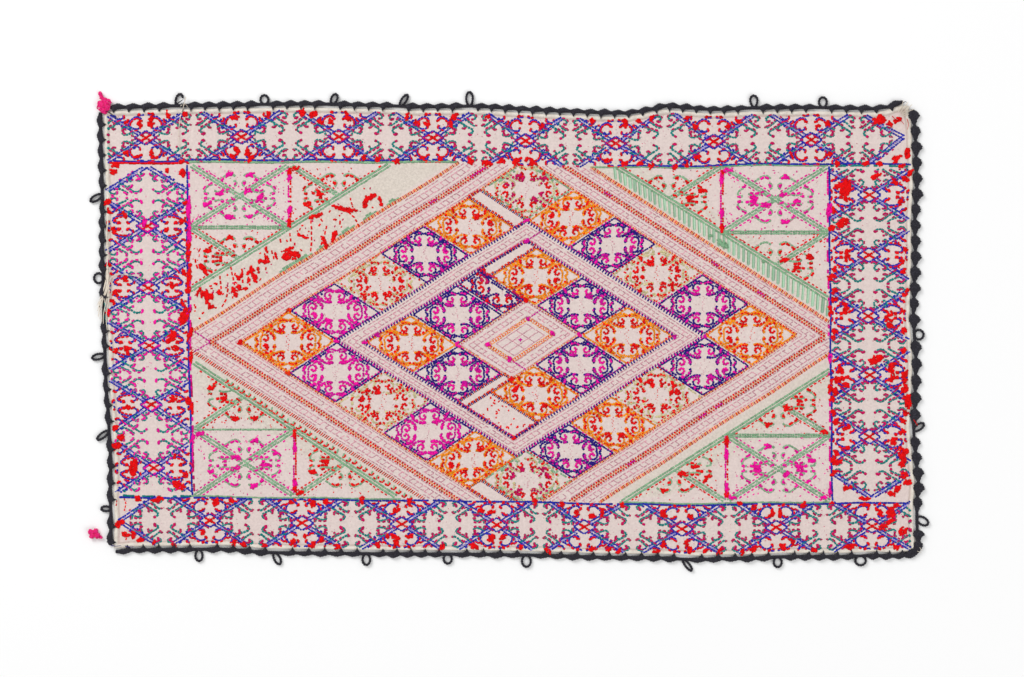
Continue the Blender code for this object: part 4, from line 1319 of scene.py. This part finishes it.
def loop_line(loop, turn):
    """Middle line of a loop at angles round it, as distances along its side and outwards.

    An ellipse from root to tip, its sides drawn together near the root by the
    sine of half the angle to the power of pinch, then tipped by lean."""
    rise_out = (loop.length - 0.3 * YARN) * (1.0 - np.cos(turn)) / 2
    reach = (loop.width - 0.7 * YARN) / 2 * np.sin(turn) * np.abs(np.sin(turn / 2)) ** loop.pinch
    lean = np.radians(loop.lean)
    return reach * np.cos(lean) + rise_out * np.sin(lean), rise_out * np.cos(lean) - reach * np.sin(lean)


def button_loop(loop):
    """Two plies wound round a loop's middle line, a quarter of the yarn's thickness from it."""
    turn = 2 * np.pi - np.linspace(ROOT_GAP, (2 * np.pi - ROOT_GAP) * loop.left, LOOP_RINGS)
    across, out = loop_line(loop, turn)
    spots = place_beside(loop.side, loop.along + across, stray(loop.side, loop.along) + out)
    line = np.column_stack([spots, YARN / 2 + 0.05 + 0.35 * np.sin(turn / 2) ** 8 * seed.uniform(0, 1)])
    runs = unit(np.gradient(line, axis=0))
    level = np.column_stack([-runs[:, 1], runs[:, 0], np.zeros(LOOP_RINGS)])
    plies = []
    for half_turn in (0.0, np.pi):
        angle = (2 * np.pi * distance(line) / TWIST + half_turn)[:, None]
        around = level * np.cos(angle) + np.array([0.0, 0.0, 1.0]) * np.sin(angle)
        plies.append(line + YARN * 0.24 * around)
    points, faces, strand = tubes(np.stack(plies), YARN * 0.28, 7)
    piece = mesh_piece(loop.name + "_yarn", points, faces, BLACK_WOOL)
    paint_strand(piece, strand)
    return piece


for loop in LOOPS:
    piece = button_loop(loop)
    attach(piece, ROOT)
    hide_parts(loop.name)


# ---- Pink wool trims ---------------------------------------------------------
# A small tassel is tied on at the top left corner, and the remains of another at
# the foot of the left side: soft unspun pink wool, in separate locks.
# The middle and radius of each lobe that the locks are curled round.
TASSEL = [(-446.0, 241.2, 3.8), (-449.6, 244.6, 4.0), (-442.8, 244.8, 4.0), (-446.4, 248.2, 4.4),
          (-441.8, 249.8, 3.6), (-450.6, 248.8, 3.0), (-445.6, 251.8, 3.4), (-448.8, 255.4, 1.9),
          (-449.8, 257.8, 1.6), (-450.4, 260.0, 2.0)]
TUFT = [(-460.4, -221.8, 3.2), (-455.2, -221.2, 3.0), (-459.2, -226.0, 3.0), (-453.8, -225.8, 3.0),
        (-449.8, -227.8, 1.8)]
LOCK_RADIUS = [0.2, 0.6, 0.75, 0.75, 0.6, 0.15]      # along each lock
LOCKS = 34                 # round each lobe
PINK_WOOL = wool("pink_wool_combed", "#EA0A72", "#FF4FA6", 0.1)


def locks(name, lobes):
    """Locks of wool curled round lobes: each an arc over a flattened ball, its start and way random."""
    lobes = np.repeat(lobes, LOCKS, axis=0)
    count = len(lobes)
    start = unit(seed.normal(0, 1, (count, 3)))
    start[:, 2] = np.abs(start[:, 2])
    other = unit(np.cross(start, seed.normal(0, 1, (count, 3))))
    angle = np.linspace(0, 1, 6)[None, :] * seed.uniform(0.9, 2.0, (count, 1))
    way = start[:, None] * np.cos(angle)[..., None] + other[:, None] * np.sin(angle)[..., None]
    reach = lobes[:, None, 2:3] * seed.uniform(0.7, 1.05, (count, 1, 1))
    middle = np.column_stack([lobes[:, :2], lobes[:, 2] * 0.7 + 0.9])
    paths = way * reach * [1.0, 1.0, 0.7] + middle[:, None]
    paths[..., 2] = np.maximum(paths[..., 2], 0.8)
    points, faces, strand = tubes(paths, LOCK_RADIUS, 5)
    piece = mesh_piece(name, points, faces, PINK_WOOL)
    paint_strand(piece, strand)
    return piece


for name, lobes, node_name in (("tassel_locks", TASSEL, "corner_tassel"),
                               ("tuft_locks", TUFT, "corner_tuft")):
    piece = locks(name, lobes)
    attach(piece, ROOT)
    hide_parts(node_name)


# ---- Frayed and stray threads ------------------------------------------------
# Where the edging has worn, cotton threads of the hem and ends of sewing thread
# have pulled free and lie over the corners and the left side.
# By thread: the width of each loose end, and the points it lies through.
FRAYS = {
    "cotton": [
        (1.1, [(-356.2, 256.0), (-357.4, 251.0), (-358.8, 245.2), (-362.5, 233.0), (-364.0, 212.0),
               (-361.0, 190.0)]),
        (0.7, [(-362.0, 246.0), (-359.0, 248.4), (-355.6, 247.2), (-353.8, 243.6)]),
        (1.2, [(427.0, 240.0), (430.5, 246.0), (432.0, 251.6)]),
        (1.2, [(429.0, 239.0), (433.5, 245.0), (437.4, 250.6)]),
        (1.2, [(431.0, 238.4), (437.0, 243.6), (441.6, 247.6)]),
        (1.2, [(430.6, 236.4), (437.6, 240.0), (443.8, 242.6)]),
        (1.2, [(432.0, 235.0), (438.6, 237.4), (443.0, 238.6)]),
        (0.9, [(449.0, -237.6), (451.0, -240.0), (452.6, -242.4)]),
        (0.8, [(446.6, -242.2), (449.0, -243.6), (451.6, -244.2)]),
        (1.5, [(-441.6, 122.0), (-443.0, 104.0), (-441.4, 84.0), (-443.2, 64.0), (-441.8, 50.0)]),
        (1.6, [(-442.0, 66.0), (-442.4, 50.0), (-446.6, 38.0), (-450.4, 30.0), (-453.0, 21.0)]),
        (1.5, [(-441.0, 60.0), (-443.0, 44.0), (-447.0, 34.0), (-450.6, 24.0), (-452.4, 14.6)]),
        (1.3, [(-440.4, 50.0), (-442.0, 38.0), (-444.4, 28.0), (-446.6, 17.0), (-446.8, 7.0)]),
        (1.4, [(-440.0, 52.0), (-444.0, 40.0), (-448.8, 33.0), (-451.6, 28.4), (-449.6, 19.0)]),
        (1.2, [(-440.0, 44.0), (-441.6, 30.0), (-443.6, 14.0), (-442.4, -2.0)]),
        (1.1, [(-441.5, 70.0), (-444.8, 52.0), (-448.6, 39.0), (-453.6, 27.0)]),
        (1.2, [(-442.6, 58.0), (-446.0, 45.0), (-449.6, 32.0), (-450.4, 12.0)]),
        (1.1, [(-441.0, 57.0), (-445.4, 41.0), (-448.2, 27.0), (-448.6, 9.0)]),
        (1.2, [(-440.6, 62.0), (-443.6, 47.0), (-445.2, 35.0), (-444.6, 20.0)]),
        (1.0, [(-445.6, 38.4), (-441.0, 53.0), (-434.4, 60.4), (-420.0, 60.6), (-401.4, 57.2)])],
    "black": [
        (1.5, [(-366.0, 248.4), (-362.4, 251.0), (-359.6, 253.0)]),
        (1.0, [(-361.0, 249.0), (-358.6, 247.2), (-356.4, 248.4)]),
        (1.1, [(-443.0, 240.4), (-438.0, 237.4), (-434.6, 234.6), (-431.0, 232.6)]),
        (1.6, [(-442.6, -232.8), (-439.0, -233.4), (-435.4, -234.8)]),
        (1.2, [(-451.2, 26.6), (-450.4, 23.6), (-450.0, 20.8)]),
        (1.1, [(-448.2, 25.4), (-447.2, 21.4), (-447.0, 17.6)]),
        (1.4, [(-445.8, 59.6), (-444.6, 56.6), (-443.2, 53.6)]),
        (1.0, [(431.6, 249.4), (434.2, 250.8), (436.0, 250.2)])],
    "teal": [
        (1.2, [(-445.6, 29.8), (-444.8, 25.0), (-443.4, 19.8)]),
        (0.7, [(-447.0, 18.6), (-444.8, 12.0), (-442.0, 5.6)])],
    "navy": [
        (1.0, [(-438.4, -236.6), (-433.0, -237.4), (-427.6, -236.8)]),
        (1.0, [(-422.6, -237.4), (-418.0, -238.4), (-413.4, -238.0)])],
    "red": [
        (0.9, [(420.2, 235.0), (424.0, 231.4), (429.6, 230.0), (433.0, 226.2)]),
        (0.8, [(436.2, 232.0), (437.8, 226.0), (436.6, 220.2)]),
        (1.6, [(432.2, -88.0), (439.4, -93.0), (447.6, -104.6)])]}
FRAY_RINGS = 24
SOIL = 500.0               # patches of soil in a metre, each 2 mm
# Loose cotton thread, spun and frayed: matt cream, soiled in patches.
COTTON_THREAD, tree, shader = new_material("cream_cotton_thread_frayed", {"Roughness": 0.85})
place = node(tree, "ShaderNodeTexCoord").outputs["Object"]
dust = node(tree, "ShaderNodeTexNoise", {"Vector": place, "Scale": SOIL})
tint = node(tree, "ShaderNodeMix", {"Factor": dust.outputs["Fac"], "A": linear("#CDBDAA"),
                                    "B": linear("#EFE7DA")}, data_type="RGBA")
tree.links.new(tint.outputs["Result"], shader.inputs["Base Color"])


def fray_path(wide, line):
    """A fray's smooth path: bent through its points, laid just over the cloth or the table."""
    line = bend(line, 6)
    flat = walk(line, np.arange(len(line)), np.linspace(0, len(line) - 1, FRAY_RINGS))
    on_cloth = (np.abs(flat[:, 0]) < PANEL_LENGTH / 2 - 3) & (np.abs(flat[:, 1]) < PANEL_WIDTH / 2 - 3)
    level = np.where(on_cloth, rise(flat) + 0.9, 3.2) + wide / 2
    return np.column_stack([flat, evened(level, 2)])


for thread, rows in FRAYS.items():
    radius = np.array([[wide / 2] for wide, line in rows]) * np.linspace(1.0, 0.55, FRAY_RINGS)
    points, faces, strand = tubes(np.stack([fray_path(*row) for row in rows]), radius, 5)
    look = {"cotton": COTTON_THREAD, "black": BLACK_WOOL}.get(thread) or FLOSS[thread]
    piece = mesh_piece("fray_" + thread, points, faces, look)
    paint_strand(piece, strand)
    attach(piece, ROOT)
